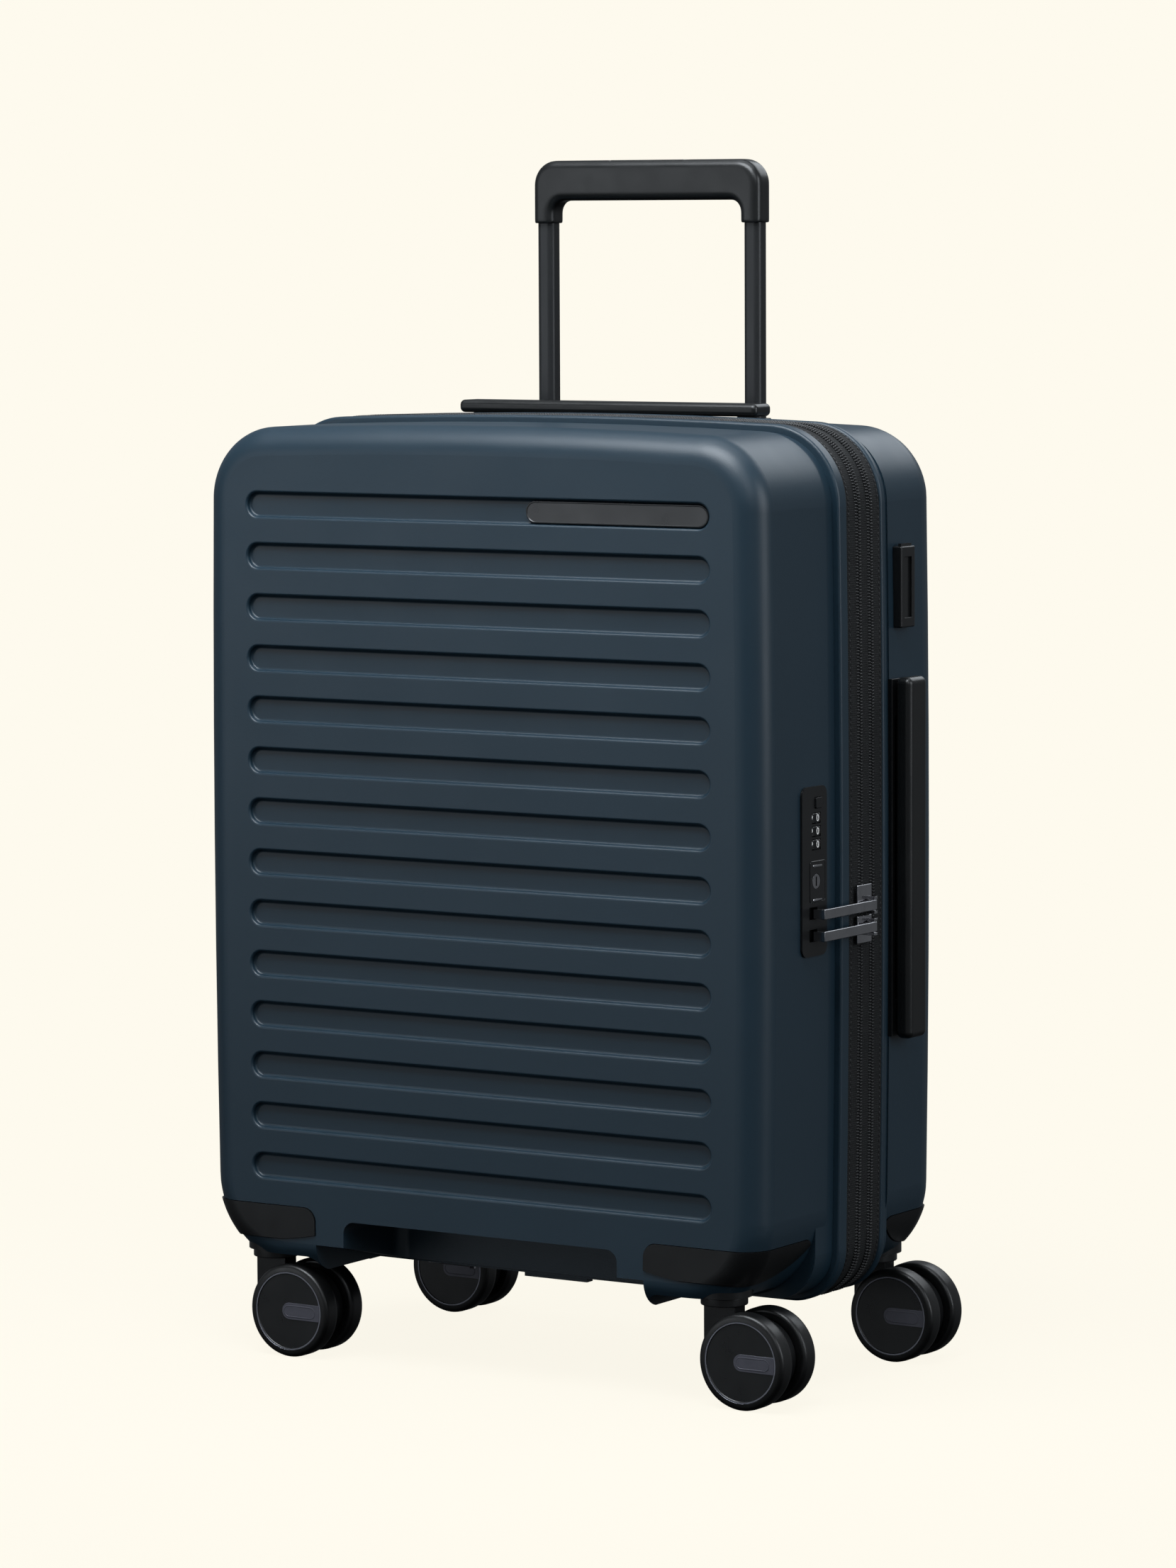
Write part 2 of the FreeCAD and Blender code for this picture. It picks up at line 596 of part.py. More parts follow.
def make_side_feet():
    """Two round studs on the left wall, for laying the case on its side."""
    feet = []
    for i, z in enumerate(FOOT_HEIGHTS):
        stud = rod("foot_stud_%d" % i, "7", ("-side_handle_out", "foot_y", z),
                   "side_handle_out - half_width + side_bulge", "x")
        wall = case_prism("foot_wall_%d" % i, "0", "foot_y - 9", "foot_y + 9")
        cap = cut("foot_cap_%d" % i, stud, [wall])
        feet.append(fuse("foot_%d" % i, [cap, foot_pin("foot_pin_%d" % i, z)]))
    node(group("foot_pair", feet), "side_feet")


# ---------------------------------------------------------------- lining, divider and straps
def make_lining(label, side_y, mouth, floor, cuts):
    """Thin fabric tray inside one shell, open towards the other half."""
    rise = "-wall - rim_groove_depth / 2 - lining_gap"
    start, end = sorted((mouth, floor), key=number)
    outside = case_prism(label + "_outside", rise, start, end, (floor, "lining_round"))
    inner_floor = "%s - %d * lining_wall" % (floor, side_y)
    start, end = sorted(("%s - %d * 5" % (mouth, side_y), inner_floor), key=number)
    inside = case_prism(label + "_inside", rise + " - lining_wall", start, end,
                        (inner_floor, "lining_round - lining_wall"))
    pods = [corner_block("%s_pod_%d" % (label, i), side_x, side_y, "wall + lining_gap", "20",
                         "pod_round + wall") for i, side_x in enumerate((-1, 1))]
    node(cut(label + "_body", outside, [inside] + pods + cuts), label)


def make_interior():
    lock_room = box("lining_lock_room", ("half_width - 20", "lock_y - lock_width / 2", "lock_low"),
                    ("half_width + 5", "lock_y + lock_width / 2", "lock_low + lock_length"))
    grip_room = box("lining_grip_room", ("-pod_x", "-half_depth", "30"), ("pod_x", "-37", "85.5"))
    make_lining("front_lining", -1, "front_edge - 2.5", "-half_depth + 6.6", [lock_room, grip_room])
    bezel_room = box("lining_bezel_room", ("-grip_half - 9", "trolley_y - 13", "tube_head - 1"),
                     ("grip_half + 9", "half_depth", "tray_top"))
    top_room = box("lining_top_room", ("-handle_half", "handle_y - 11", "tray_floor - 4"),
                   ("handle_half", "handle_y + 11", "tray_top"))
    side_room = box("lining_side_room", ("half_width - 21", "side_handle_y - 12",
                                         "side_handle_z - side_handle_half"),
                    ("half_width + 5", "side_handle_y + 12", "side_handle_z + side_handle_half"))
    make_lining("back_lining", 1, "back_edge + 2.5", "trolley_y - 9.5", [bezel_room, top_room, side_room])
    node(case_prism("divider_body", "-8.5", "front_edge - 5.5", "front_edge - 4"), "divider_panel")
    buckles, straps = [], []
    for i, x in enumerate(("-70", "70")):
        buckles.append(soft_block("buckle_%d" % i, (x + " - 20", "30.5", "270"),
                                  (x + " + 20", "37", "312"), "1.5"))
        band = box("strap_%d" % i, (x + " - 12.5", "33", "56.5"), (x + " + 12.5", "34.2", "522"))
        straps.append(cut("strap_cut_%d" % i, band, [buckles[i]]))
    node(group("strap_group", straps + buckles), "packing_straps")


# ---------------------------------------------------------------- zips
def zip_half(label, tape, coils):
    """Tape ring with its coil rings; tape and coils are (start, end) pairs in y."""
    rings = [case_ring(label + "_tape", "tape_rise", "tape_rise - tape_wall", *tape)]
    for i, span in enumerate(coils):
        rings.append(case_ring("%s_coil_%d" % (label, i), "tape_rise + coil_rise",
                               "tape_rise - tape_wall / 2", *span))
    return node(fuse(label + "_body", rings), label)


def make_zips():
    main_front = ("main_chain - coil_half", "main_chain - zip_split")
    main_mid = ("main_chain + zip_split", "main_chain + coil_half")
    grow_mid = ("expansion_chain - coil_half", "expansion_chain - zip_split")
    grow_back = ("expansion_chain + zip_split", "expansion_chain + coil_half")
    zip_half("front_zip_tape", ("front_edge", main_front[1]), [main_front])
    zip_half("middle_zip_band", (main_mid[0], grow_mid[1]), [main_mid, grow_mid])
    zip_half("back_zip_tape", (grow_back[0], "back_edge"), [grow_back])
    node(case_ring("gusset_ring", "tape_rise - tape_wall - 1.2", "tape_rise - tape_wall - 2.2",
                   "main_chain + 1.5", "back_edge - 0.5"), "expansion_gusset")
    flap = case_ring("hinge_ring", "tape_rise - tape_wall - 0.2", "tape_rise - tape_wall - 0.9",
                     "front_edge + 0.5", "expansion_chain - 1.5")
    side = box("hinge_span", ("-half_width - 10", "front_edge - 2", "mid_height - 165"),
               ("-half_width + 20", "back_edge", "mid_height + 165"))
    node(common("hinge_strip_body", flap, side), "hinge_strip")


def make_main_slider(name, low, middle):
    """Slider on the outside of the main zip, with the crown that holds its puller."""
    plate = soft_block(name + "_plate", ("half_width + 4.4", "main_chain - slider_half", low),
                       ("half_width + 5.9", "main_chain + slider_half", "%s + slider_length" % low), "0.6")
    lugs = [box("%s_lug_%d" % (name, i), ("half_width + 5", "crown_y - 1.6", "%s + %s" % (middle, near)),
                ("crown_x + 1.5", "crown_y + 1.6", "%s + %s" % (middle, far)))
            for i, (near, far) in enumerate((("-4.8", "-3.2"), ("3.2", "4.8")))]
    pin = rod(name + "_crown", "crown_radius", ("crown_x", "crown_y", middle + " - 4"), "8", "z")
    node(fuse(name + "_body", [plate, pin] + lugs), name)
    arm = soft_block(name + "_arm", ("crown_x - 1.45", "-49.5", middle + " - 2.8"),
                     ("crown_x + 1.45", "crown_y + 1.6", middle + " + 2.8"), "0.5")
    hook = box(name + "_hook", ("lock_face + 1.3", "-49.4", middle + " - 2.5"),
               ("crown_x", "-45.8", middle + " + 2.5"))
    eye = rod(name + "_eye", "crown_radius + running_gap", ("crown_x", "crown_y", middle + " - 6"),
              "12", "z")
    puller = name.replace("slider", "puller")
    node(cut(puller + "_body", fuse(puller + "_solid", [arm, hook]), [eye]), puller)
    return box(name + "_dock", ("half_width - 2.5", "-51.5", middle + " - 3.4"),
               ("half_width + 6", "-43.2", middle + " + 3.4"))


def make_expansion_slider():
    """Slider of the expansion zip, parked under the case with its puller along the zip."""
    x, top = "-75", "mid_height - half_height - 4.4"
    plate = soft_block("grow_plate", (x + " - slider_length / 2", "expansion_chain - slider_half",
                                      top + " - 1.5"),
                       (x + " + slider_length / 2", "expansion_chain + slider_half", top), "0.6")
    lugs = [box("grow_lug_%d" % i, (x + " - 1.6", "expansion_chain + %s" % near, top + " - 6"),
                (x + " + 1.6", "expansion_chain + %s" % far, top + " - 1"))
            for i, (near, far) in enumerate((("-6", "-4.2"), ("4.2", "6")))]
    pin = rod("grow_crown", "crown_radius", (x, "expansion_chain - 5", top + " - 4.4"), "10", "y")
    node(fuse("grow_slider", [plate, pin] + lugs), "expansion_slider")
    arm = soft_block("grow_arm", (x + " - 32", "expansion_chain - 3.5", top + " - 5.85"),
                     (x + " + 1.6", "expansion_chain + 3.5", top + " - 2.95"), "0.5")
    eye = rod("grow_eye", "crown_radius + running_gap", (x, "expansion_chain - 6", top + " - 4.4"),
              "12", "y")
    node(cut("grow_puller", arm, [eye]), "expansion_puller")


# ---------------------------------------------------------------- lock and name plate
def make_lock(docks):
    """Flush three-dial lock with a release button, a key cylinder and two puller docks."""
    plate = soft_block("lock_plate", ("half_width", "lock_y - lock_width / 2", "lock_low"),
                       ("lock_face", "lock_y + lock_width / 2", "lock_low + lock_length"), "5",
                       runs_along("x"))
    housing = box("lock_housing", ("half_width - 15", "lock_y - lock_width / 2 + 1.7", "lock_low + 2.3"),
                  ("half_width + 0.4", "lock_y + lock_width / 2 - 1.7", "lock_low + lock_length - 2.3"))
    windows, dials = [], []
    for i in range(3):
        middle = "dial_low + %d * dial_pitch" % i
        windows.append(rod("dial_window_%d" % i, "dial_radius + 0.4",
                           ("dial_depth", "dial_y", middle + " - 3"), "6", "z"))
        disc = rod("dial_disc_%d" % i, "dial_radius", ("dial_depth", "dial_y", middle + " - 2.7"),
                   "5.4", "z")
        bore = rod("dial_bore_%d" % i, "1.5 + running_gap", ("dial_depth", "dial_y", middle + " - 4"),
                   "8", "z")
        dials.append(node(cut("dial_%d" % i, disc, [bore]), "lock_dial_%d" % (i + 1)))
    spindle = rod("dial_spindle", "1.5", ("dial_depth", "dial_y", "dial_low - 7"),
                  "2 * dial_pitch + 12", "z")
    key_room = rod("key_room", "4 + running_gap", ("half_width - 14", "dial_y", "key_z"), "22", "x")
    key = rod("key_plug", "4", ("half_width - 13", "dial_y", "key_z"), "13 + lock_face - half_width", "x")
    slot = box("key_slot", ("half_width - 8", "dial_y - 0.6", "key_z - 2.6"),
               ("half_width + 3", "dial_y + 0.6", "key_z + 2.6"))
    button_low = ("half_width - 5", "dial_y - 1.4", "dial_low + 19.8")
    button_high = ("lock_face + 0.9", "dial_y + 5", "dial_low + 25.6")
    button_room = box("button_room", ("half_width - 8", "dial_y - 1.7", "dial_low + 19.5"),
                      ("half_width + 4", "dial_y + 5.3", "dial_low + 25.9"))
    case = cut("lock_case", fuse("lock_solid", [plate, housing]),
               windows + [key_room, button_room] + docks)
    node(fuse("lock_with_spindle", [case, spindle]), "lock_body")
    node(cut("key_cylinder_body", key, [slot]), "key_cylinder")
    node(soft_block("button_body", button_low, button_high, "0.8", runs_along("x")), "lock_button")


def badge_layer(name, level, thickness, inset):
    """One layer of the name plate: a pill shape standing at a level over the groove's floor."""
    body = doc.addObject("PartDesign::Body", name)
    sketch = new_sketch(body, name + "_outline", "XZ_Plane", "half_depth - groove_depth + (%s)" % level)
    add_slot(sketch, "groove_half_length - badge_length - 0.5 + (%s)" % inset,
             "groove_half_length - 0.5 - (%s)" % inset, "groove_top", "badge_height - 2 * (%s)" % inset)
    pad(body, sketch, thickness)
    return body


def make_name_plate():
    """Blank pill-shaped plate on a narrower foot, in the right end of the highest groove."""
    foot = badge_layer("badge_foot_layer", "0", "badge_foot", "groove_round")
    face = badge_layer("badge_face_layer", "badge_foot", "groove_depth - badge_foot - 1.2", "0")
    node(fuse("badge_body", [foot, face]), "name_plate")


# ---------------------------------------------------------------- corner covers and casters
def make_corner_covers():
    """Corner covers that close the wheel pods and hold the swivel sockets."""
    for side_y, depth_name, rounding in ((-1, "front", "front_round"), (1, "rear", "back_round")):
        for side_x, side_name in ((-1, "left"), (1, "right")):
            name = "%s_%s_cover" % (depth_name, side_name)
            start, end = swap(side_y, "20", "half_depth + cover_rise")
            skin = case_prism(name + "_skin", "cover_rise", start, end,
                              ("%d * (half_depth + cover_rise)" % side_y, rounding))
            start, end = swap(side_y, "20", "half_depth + cover_rise - cover_wall")
            inner_skin = case_prism(name + "_inner_skin", "cover_rise - cover_wall", start, end,
                                    ("%d * (half_depth + cover_rise - cover_wall)" % side_y,
                                     rounding + " - cover_wall"))
            room = cover_space(name + "_room", side_x, side_y, "-cover_gap - cover_wall", "pod_top + 4")
            shape = common(name + "_shape", skin, cover_space(name + "_space", side_x, side_y, "-cover_gap"))
            tray = cut(name + "_tray", shape, [common(name + "_hollow", inner_skin, room)])
            place = ("%d * stem_x" % side_x, "%d * stem_y" % side_y)
            boss = rod(name + "_boss", "socket_radius", place + ("socket_floor",),
                       "pod_top - socket_floor - 3", "z")
            bore = rod(name + "_bore", "stem_radius + running_gap", place + ("socket_floor - 1",),
                       "stem_length + 2", "z")
            node(cut(name + "_body", fuse(name + "_solid", [tray, boss]), [bore]), name)


def wheel_disc(name, x, start):
    """One wheel: rounded tread and bore."""
    body = doc.addObject("PartDesign::Body", name)
    sketch = new_sketch(body, name + "_circle", "XZ_Plane", "-(%s)" % start)
    for radius in ("wheel_radius", "axle_radius + running_gap"):
        circle = sketch.addGeometry(Part.Circle(Vector(number(x), size("wheel_radius"), 0),
                                                Vector(0, 0, 1), number(radius)), False)
        fix_point(sketch, circle, 3, x, "wheel_radius")
        index = sketch.addConstraint(Sketcher.Constraint("Radius", circle, number(radius)))
        sketch.setExpression("Constraints[%d]" % index, formula(radius))
    feature = pad(body, sketch, "wheel_width", backwards=True)

    def on_tread(edge):
        return hasattr(edge.Curve, "Radius") and abs(edge.Curve.Radius - size("wheel_radius")) < 1e-6
    round_edges(body, feature, on_tread, "wheel_round")
    return body


def make_casters():
    """Four swivel casters: fork with stem, axle and a pair of wheels each."""
    for side_y, depth_name in ((-1, "front"), (1, "rear")):
        for side_x, side_name in ((-1, "left"), (1, "right")):
            place = "%s_%s" % (depth_name, side_name)
            x, y = "%d * stem_x" % side_x, "%d * stem_y" % side_y
            axle_x = x + " + trail"
            hub = rod(place + "_hub", "13", (x, y, "wheel_radius * 2 + 1.2"),
                      "socket_floor - 1.5 - wheel_radius * 2", "z")
            pillar = box(place + "_pillar", (x + " - pillar_half", y + " - fork_half", "wheel_radius"),
                         (x + " + pillar_half", y + " + fork_half", "wheel_radius * 2 + 2"))
            fender = rod(place + "_fender", "fork_radius", (axle_x, y + " - fork_half", "wheel_radius"),
                         "2 * fork_half", "y")
            stem = rod(place + "_stem", "stem_radius", (x, y, "wheel_radius * 2 + 2"),
                       "stem_length + 4", "z")
            axle_line = (axle_x, y + " - 17.5", "wheel_radius")
            hole = rod(place + "_hole", "axle_radius", axle_line, "35", "y")
            node(cut(place + "_fork_body", fuse(place + "_fork_solid", [hub, pillar, fender, stem]),
                     [hole]), place + "_fork")
            node(rod(place + "_axle_rod", "axle_radius", axle_line, "35", "y"), place + "_axle")
            for side, offset in (("a", " - wheel_inner - wheel_width"), ("b", " + wheel_inner")):
                node(wheel_disc("%s_disc_%s" % (place, side), axle_x, y + offset),
                     "%s_wheel_%s" % (place, side))


# ---------------------------------------------------------------- trolley
def tube_half(axis, level):
    """Half of a tube's outside; level 0 is the inner tube, 1 the middle and 2 the outer one."""
    return "(inner_tube_%s / 2 + %d * (tube_wall + slide_gap))" % (axis, level)


def tube_block(name, side, level, shrink, low, high):
    half_x = "(%s - (%s))" % (tube_half("x", level), shrink)
    half_y = "(%s - (%s))" % (tube_half("y", level), shrink)
    middle = "%d * tube_x" % side
    return soft_block(name, (middle + " - " + half_x, "trolley_y - " + half_y, low),
                      (middle + " + " + half_x, "trolley_y + " + half_y, high),
                      "3.6 + %d * (tube_wall + slide_gap) - (%s)" % (level, shrink), runs_along("z"))


def make_tubes(label, level, low, high):
    """Pair of D-shaped telescoping tubes."""
    tubes = []
    for side in (-1, 1):
        name = "%s_%s" % (label, "left" if side < 0 else "right")
        outside = tube_block(name + "_outside", side, level, "0", low, high)
        bore = tube_block(name + "_bore", side, level, "tube_wall", low + " - 1", high + " + 1")
        tubes.append(cut(name, outside, [bore]))
    node(group(label + "_pair", tubes), label)


def grip_form():
    """Outer form of the trolley grip: a bar with two short legs and soft corners."""
    body = doc.addObject("PartDesign::Body", "grip_form")
    sketch = new_sketch(body, "grip_outline", "XZ_Plane", "-trolley_y - grip_depth / 2")
    outline = [("-grip_half", "grip_foot"), ("-grip_half + leg_width", "grip_foot"),
               ("-grip_half + leg_width", "grip_top - grip_bar"),
               ("grip_half - leg_width", "grip_top - grip_bar"), ("grip_half - leg_width", "grip_foot"),
               ("grip_half", "grip_foot"), ("grip_half", "grip_top"), ("-grip_half", "grip_top")]
    add_polygon(sketch, outline)
    pad(body, sketch, "grip_depth")

    def corner_at(height):
        def wanted(edge):
            reach = edge.BoundBox
            return reach.YLength > size("grip_depth") - 1e-3 and abs(reach.ZMin - height) < 1e-3
        return wanted

    def outside_face(edge):
        reach = edge.BoundBox
        return reach.YLength < 1e-3 and reach.ZMax > size("grip_foot") + 1e-3
    round_edges(body, body.Tip, corner_at(number("grip_top")), "grip_corner")
    round_edges(body, body.Tip, corner_at(number("grip_top - grip_bar")), "grip_inner_corner")
    round_edges(body, body.Tip, outside_face, "grip_round")
    return body


def make_trolley():
    make_tubes("trolley_outer_tubes", 2, "tube_foot", "tube_head")
    make_tubes("trolley_middle_tubes", 1, "tube_foot + 4", "tray_floor")
    make_tubes("trolley_inner_tubes", 0, "tube_foot + 6 + drawn_out", "grip_foot + 11")

    block = soft_block("bezel_block", ("-grip_half - 8", "trolley_y - 10.5", "tube_head"),
                       ("grip_half + 8", "half_depth + 2", "tray_top"), "2")
    pocket = soft_block("bezel_pocket", ("-grip_half - 1.5", "trolley_y - 9", "tray_floor"),
                        ("grip_half + 1.5", "trolley_y + 9.3", "tray_top + 9"), "4", runs_along("z"))
    passes = [tube_block("bezel_pass_%d" % i, side, 1, "-slide_gap", "tube_head - 5", "tray_floor + 2")
              for i, side in enumerate((-1, 1))]
    rounding = case_prism("bezel_rounding", "bezel_rise", "trolley_y - 20", "half_depth + bezel_rise",
                          ("half_depth + bezel_rise", "back_round"))
    trimmed = common("bezel_trimmed", block, rounding)
    node(cut("bezel_body", trimmed, [pocket] + passes), "trolley_bezel")

    inside = case_prism("bracket_limit", "-wall - rim_groove_depth / 2 - 0.1", "trolley_y - 20",
                        "half_depth - wall - 0.1", ("half_depth - wall - 0.1", "back_round - wall"))
    bracket = common("bracket_block", inside,
                     box("bracket_bar", ("-84", "trolley_y - 8.5", "mid_height - half_height"),
                         ("84", "trolley_y + 8", "tube_foot")))
    shanks = [rod("bracket_hole_%d" % i, "screw_radius", (x, "trolley_y", "45"), "20", "z")
              for i, x in enumerate(SCREW_X)]
    node(cut("bracket_body", bracket, shanks), "trolley_foot_bracket")
    screws = []
    for i, x in enumerate(SCREW_X):
        head = rod("screw_head_%d" % i, "screw_radius * 2", (x, "trolley_y", "48.2"), "1.7", "z")
        shank = rod("screw_shank_%d" % i, "screw_radius", (x, "trolley_y", "49"), "15", "z")
        screws.append(fuse("screw_%d" % i, [head, shank]))
    node(group("screw_group", screws), "bracket_screws")

    bar_low = "grip_top - grip_bar"
    sockets, rods_room, rods = [], [], []
    for i, side in enumerate((-1, 1)):
        sockets.append(tube_block("grip_socket_%d" % i, side, 0, "0", "grip_foot - 5", "grip_foot + 11"))
        middle = ("%d * tube_x" % side, "trolley_y")
        rods_room.append(rod("rod_room_%d" % i, "2", middle + ("grip_foot + 5",), "20", "z"))
        rods.append(rod("release_rod_%d" % i, "1.5", middle + ("tube_foot + 20 + drawn_out",),
                        bar_low + " + 7 - tube_foot - 20 - drawn_out", "z"))
    hollow = box("grip_hollow", ("-grip_half + 4", "trolley_y - 5.4", bar_low + " + 3"),
                 ("grip_half - 4", "trolley_y + 5.4", bar_low + " + 16"))
    button_hole = box("button_hole", ("-25", "trolley_y - 5", bar_low + " + 15"),
                      ("25", "trolley_y + 5", "grip_top + 2"))
    node(cut("grip_solid", grip_form(), sockets + rods_room + [hollow, button_hole]), "trolley_grip")
    cap = box("button_cap", ("-24.6", "trolley_y - 4.6", bar_low + " + 17"),
              ("24.6", "trolley_y + 4.6", "grip_top"))
    neck = box("button_neck", ("-20", "trolley_y - 3", bar_low + " + 9"),
               ("20", "trolley_y + 3", bar_low + " + 18"))
    yoke = box("button_yoke", ("-grip_half + 4.8", "trolley_y - 3", bar_low + " + 7"),
               ("grip_half - 4.8", "trolley_y + 3", bar_low + " + 10"))
    node(fuse("grip_button_body", [cap, neck, yoke]), "grip_button")
    node(group("release_rod_pair", rods), "release_rods")


# ---------------------------------------------------------------- carry handles and tag
def make_top_handle():
    """Top handle that lifts on two posts out of its tray."""
    bar = soft_block("top_bar", ("-handle_half", "handle_y - handle_width / 2", "handle_low"),
                     ("handle_half", "handle_y + handle_width / 2", "handle_high"), "2.8")
    foot = "mid_height + half_height - recess_depth - 2.5"
    posts, slots = [], []
    for i, side in enumerate((-1, 1)):
        middle = "%d * (handle_half - post_inset)" % side
        posts.append(box("top_post_%d" % i, (middle + " - post_size / 2", "handle_y - post_size / 2", foot),
                         (middle + " + post_size / 2", "handle_y + post_size / 2", "handle_low + 2")))
        slots.append(box("top_slot_%d" % i, (middle + " - post_size / 2 - 0.4",
                                             "handle_y - post_size / 2 - 0.4", foot + " - 1"),
                         (middle + " + post_size / 2 + 0.4", "handle_y + post_size / 2 + 0.4",
                          "handle_high")))
    node(fuse("top_handle_solid", [bar] + posts), "top_handle")
    block = box("top_tray_block", ("-handle_half + 1", "handle_y - handle_width / 2 - 1", foot),
                ("handle_half - 1", "handle_y + handle_width / 2 + 1", "handle_low - 1"))
    pocket = soft_block("top_tray_pocket", ("-handle_half + 21", "handle_y - 8", foot + " + 2.5"),
                        ("handle_half - 21", "handle_y + 8", "handle_high"), "3", runs_along("z"))
    node(cut("top_tray_solid", block, [pocket] + slots), "top_handle_tray")


def make_side_handle():
    """Side handle that draws out on two posts from its tray."""
    low, high = "side_handle_z - side_handle_half", "side_handle_z + side_handle_half"
    half = "side_handle_width / 2"
    bar = soft_block("side_bar", ("side_handle_in", "side_handle_y - " + half, low),
                     ("side_handle_out", "side_handle_y + " + half, high), "3.6")
    foot = "half_width - recess_depth - 2.5"
    posts, slots = [], []
    for i, middle in enumerate((low + " + post_inset", high + " - post_inset")):
        posts.append(box("side_post_%d" % i, (foot, "side_handle_y - post_size / 2",
                                              middle + " - post_size / 2"),
                         ("side_handle_in + 3", "side_handle_y + post_size / 2",
                          middle + " + post_size / 2")))
        slots.append(box("side_slot_%d" % i, (foot + " - 1", "side_handle_y - post_size / 2 - 0.4",
                                              middle + " - post_size / 2 - 0.4"),
                         ("side_handle_out", "side_handle_y + post_size / 2 + 0.4",
                          middle + " + post_size / 2 + 0.4")))
    node(fuse("side_handle_solid", [bar] + posts), "side_handle")
    block = box("side_tray_block", (foot, "side_handle_y - %s - 1" % half, low + " + 1"),
                ("side_handle_in - 1", "side_handle_y + %s + 1" % half, high + " - 1"))
    pocket = soft_block("side_tray_pocket", (foot + " + 2.5", "side_handle_y - 8", low + " + 21"),
                        ("side_handle_out", "side_handle_y + 8", high + " - 21"), "3", runs_along("x"))
    node(cut("side_tray_solid", block, [pocket] + slots), "side_handle_tray")


def make_tag():
    """Address tag: a card that slides up out of a flat holder."""
    low, high = "tag_y - tag_width / 2", "tag_y + tag_width / 2"
    top = "tag_low + tag_height"
    block = soft_block("tag_block", ("tag_in", low, "tag_low"), ("tag_out", high, top), "0.9")
    slot = box("tag_slot", ("tag_out - 3.4", low + " + 1.8", "tag_low + 2.5"),
               ("tag_out - 1.2", high + " - 1.8", top + " + 3"))
    window = box("tag_window", ("tag_out - 2", low + " + 3.6", "tag_low + 5.5"),
                 ("tag_out + 2", high + " - 3.6", top + " - 6"))
    node(cut("tag_holder_body", block, [slot, window]), "tag_holder")
    node(box("tag_card_body", ("tag_out - 3.2", low + " + 2", "tag_low + 3"),
             ("tag_out - 1.4", high + " - 2", top + " + 1.5")), "tag_card")


make_front_shell()
make_back_shell()
make_side_feet()
make_interior()
make_zips()
make_lock([make_main_slider("upper_slider", "upper_slider_low", "upper_pivot"),
           make_main_slider("lower_slider", "lower_slider_low", "lower_pivot")])
make_expansion_slider()
make_name_plate()
make_corner_covers()
make_casters()
make_trolley()
make_top_handle()
make_side_handle()
make_tag()


# ---------------------------------------------------------------- checks and files
def check_and_write():
    """Stop at any failed object or bad shape, then write one STEP file per sub-part."""
    doc.recompute()
    for thing in doc.Objects:
        assert "Invalid" not in thing.State and "Error" not in thing.State, thing.Name + " failed"
    for thing in NODES:
        shape = thing.Shape
        assert not shape.isNull() and shape.isValid(), thing.Label + " has no valid shape"
    os.makedirs("parts", exist_ok=True)
    for thing in NODES:
        thing.Shape.exportStep("parts/%s.step" % thing.Label)
        reach = thing.Shape.optimalBoundingBox(False)
        print("%-22s solids %d  volume %9.0f  x %7.1f %7.1f  y %7.1f %7.1f  z %6.1f %6.1f" % (
            thing.Label, len(thing.Shape.Solids), thing.Shape.Volume, reach.XMin, reach.XMax,
            reach.YMin, reach.YMax, reach.ZMin, reach.ZMax))
    print(len(NODES), "nodes")


check_and_write()
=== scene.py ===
"""Looks of a hard-shell suitcase on wheels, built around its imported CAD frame.

Lengths are metres in the frame's axes: +X is the lock side, -Y the front half and +Z up.
Numbers written as N * MM are millimetres."""
import json
import math

import bmesh
import bpy
import numpy as np
from mathutils import Matrix, Vector
from mathutils.geometry import convex_hull_2d


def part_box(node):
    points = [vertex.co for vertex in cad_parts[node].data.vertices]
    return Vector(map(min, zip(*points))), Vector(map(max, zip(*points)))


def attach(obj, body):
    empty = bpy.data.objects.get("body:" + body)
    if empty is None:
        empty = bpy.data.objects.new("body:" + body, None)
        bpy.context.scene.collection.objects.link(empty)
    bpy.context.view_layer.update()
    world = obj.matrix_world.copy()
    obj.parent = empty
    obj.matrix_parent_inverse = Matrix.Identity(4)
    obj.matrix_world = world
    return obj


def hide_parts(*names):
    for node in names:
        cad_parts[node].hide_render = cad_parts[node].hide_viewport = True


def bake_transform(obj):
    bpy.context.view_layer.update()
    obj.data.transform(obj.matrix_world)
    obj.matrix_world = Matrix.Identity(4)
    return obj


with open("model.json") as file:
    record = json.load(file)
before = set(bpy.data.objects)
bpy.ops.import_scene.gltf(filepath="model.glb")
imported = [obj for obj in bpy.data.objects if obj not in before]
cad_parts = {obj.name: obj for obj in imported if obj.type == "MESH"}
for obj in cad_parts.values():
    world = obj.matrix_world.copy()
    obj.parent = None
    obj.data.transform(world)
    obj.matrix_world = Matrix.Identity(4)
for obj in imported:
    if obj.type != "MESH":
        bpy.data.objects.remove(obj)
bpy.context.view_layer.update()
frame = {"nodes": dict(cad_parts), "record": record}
MM = 0.001
SCENE = bpy.context.scene
BODY_OF = {node: body for body, nodes in frame["record"]["behaviour"]["bodies"].items() for node in nodes}
SLOT_OF = {part["node"]: part["material_slot"] for part in frame["record"]["subparts"]}
CORNERS = [(depth, side) for depth in ("front", "rear") for side in ("left", "right")]


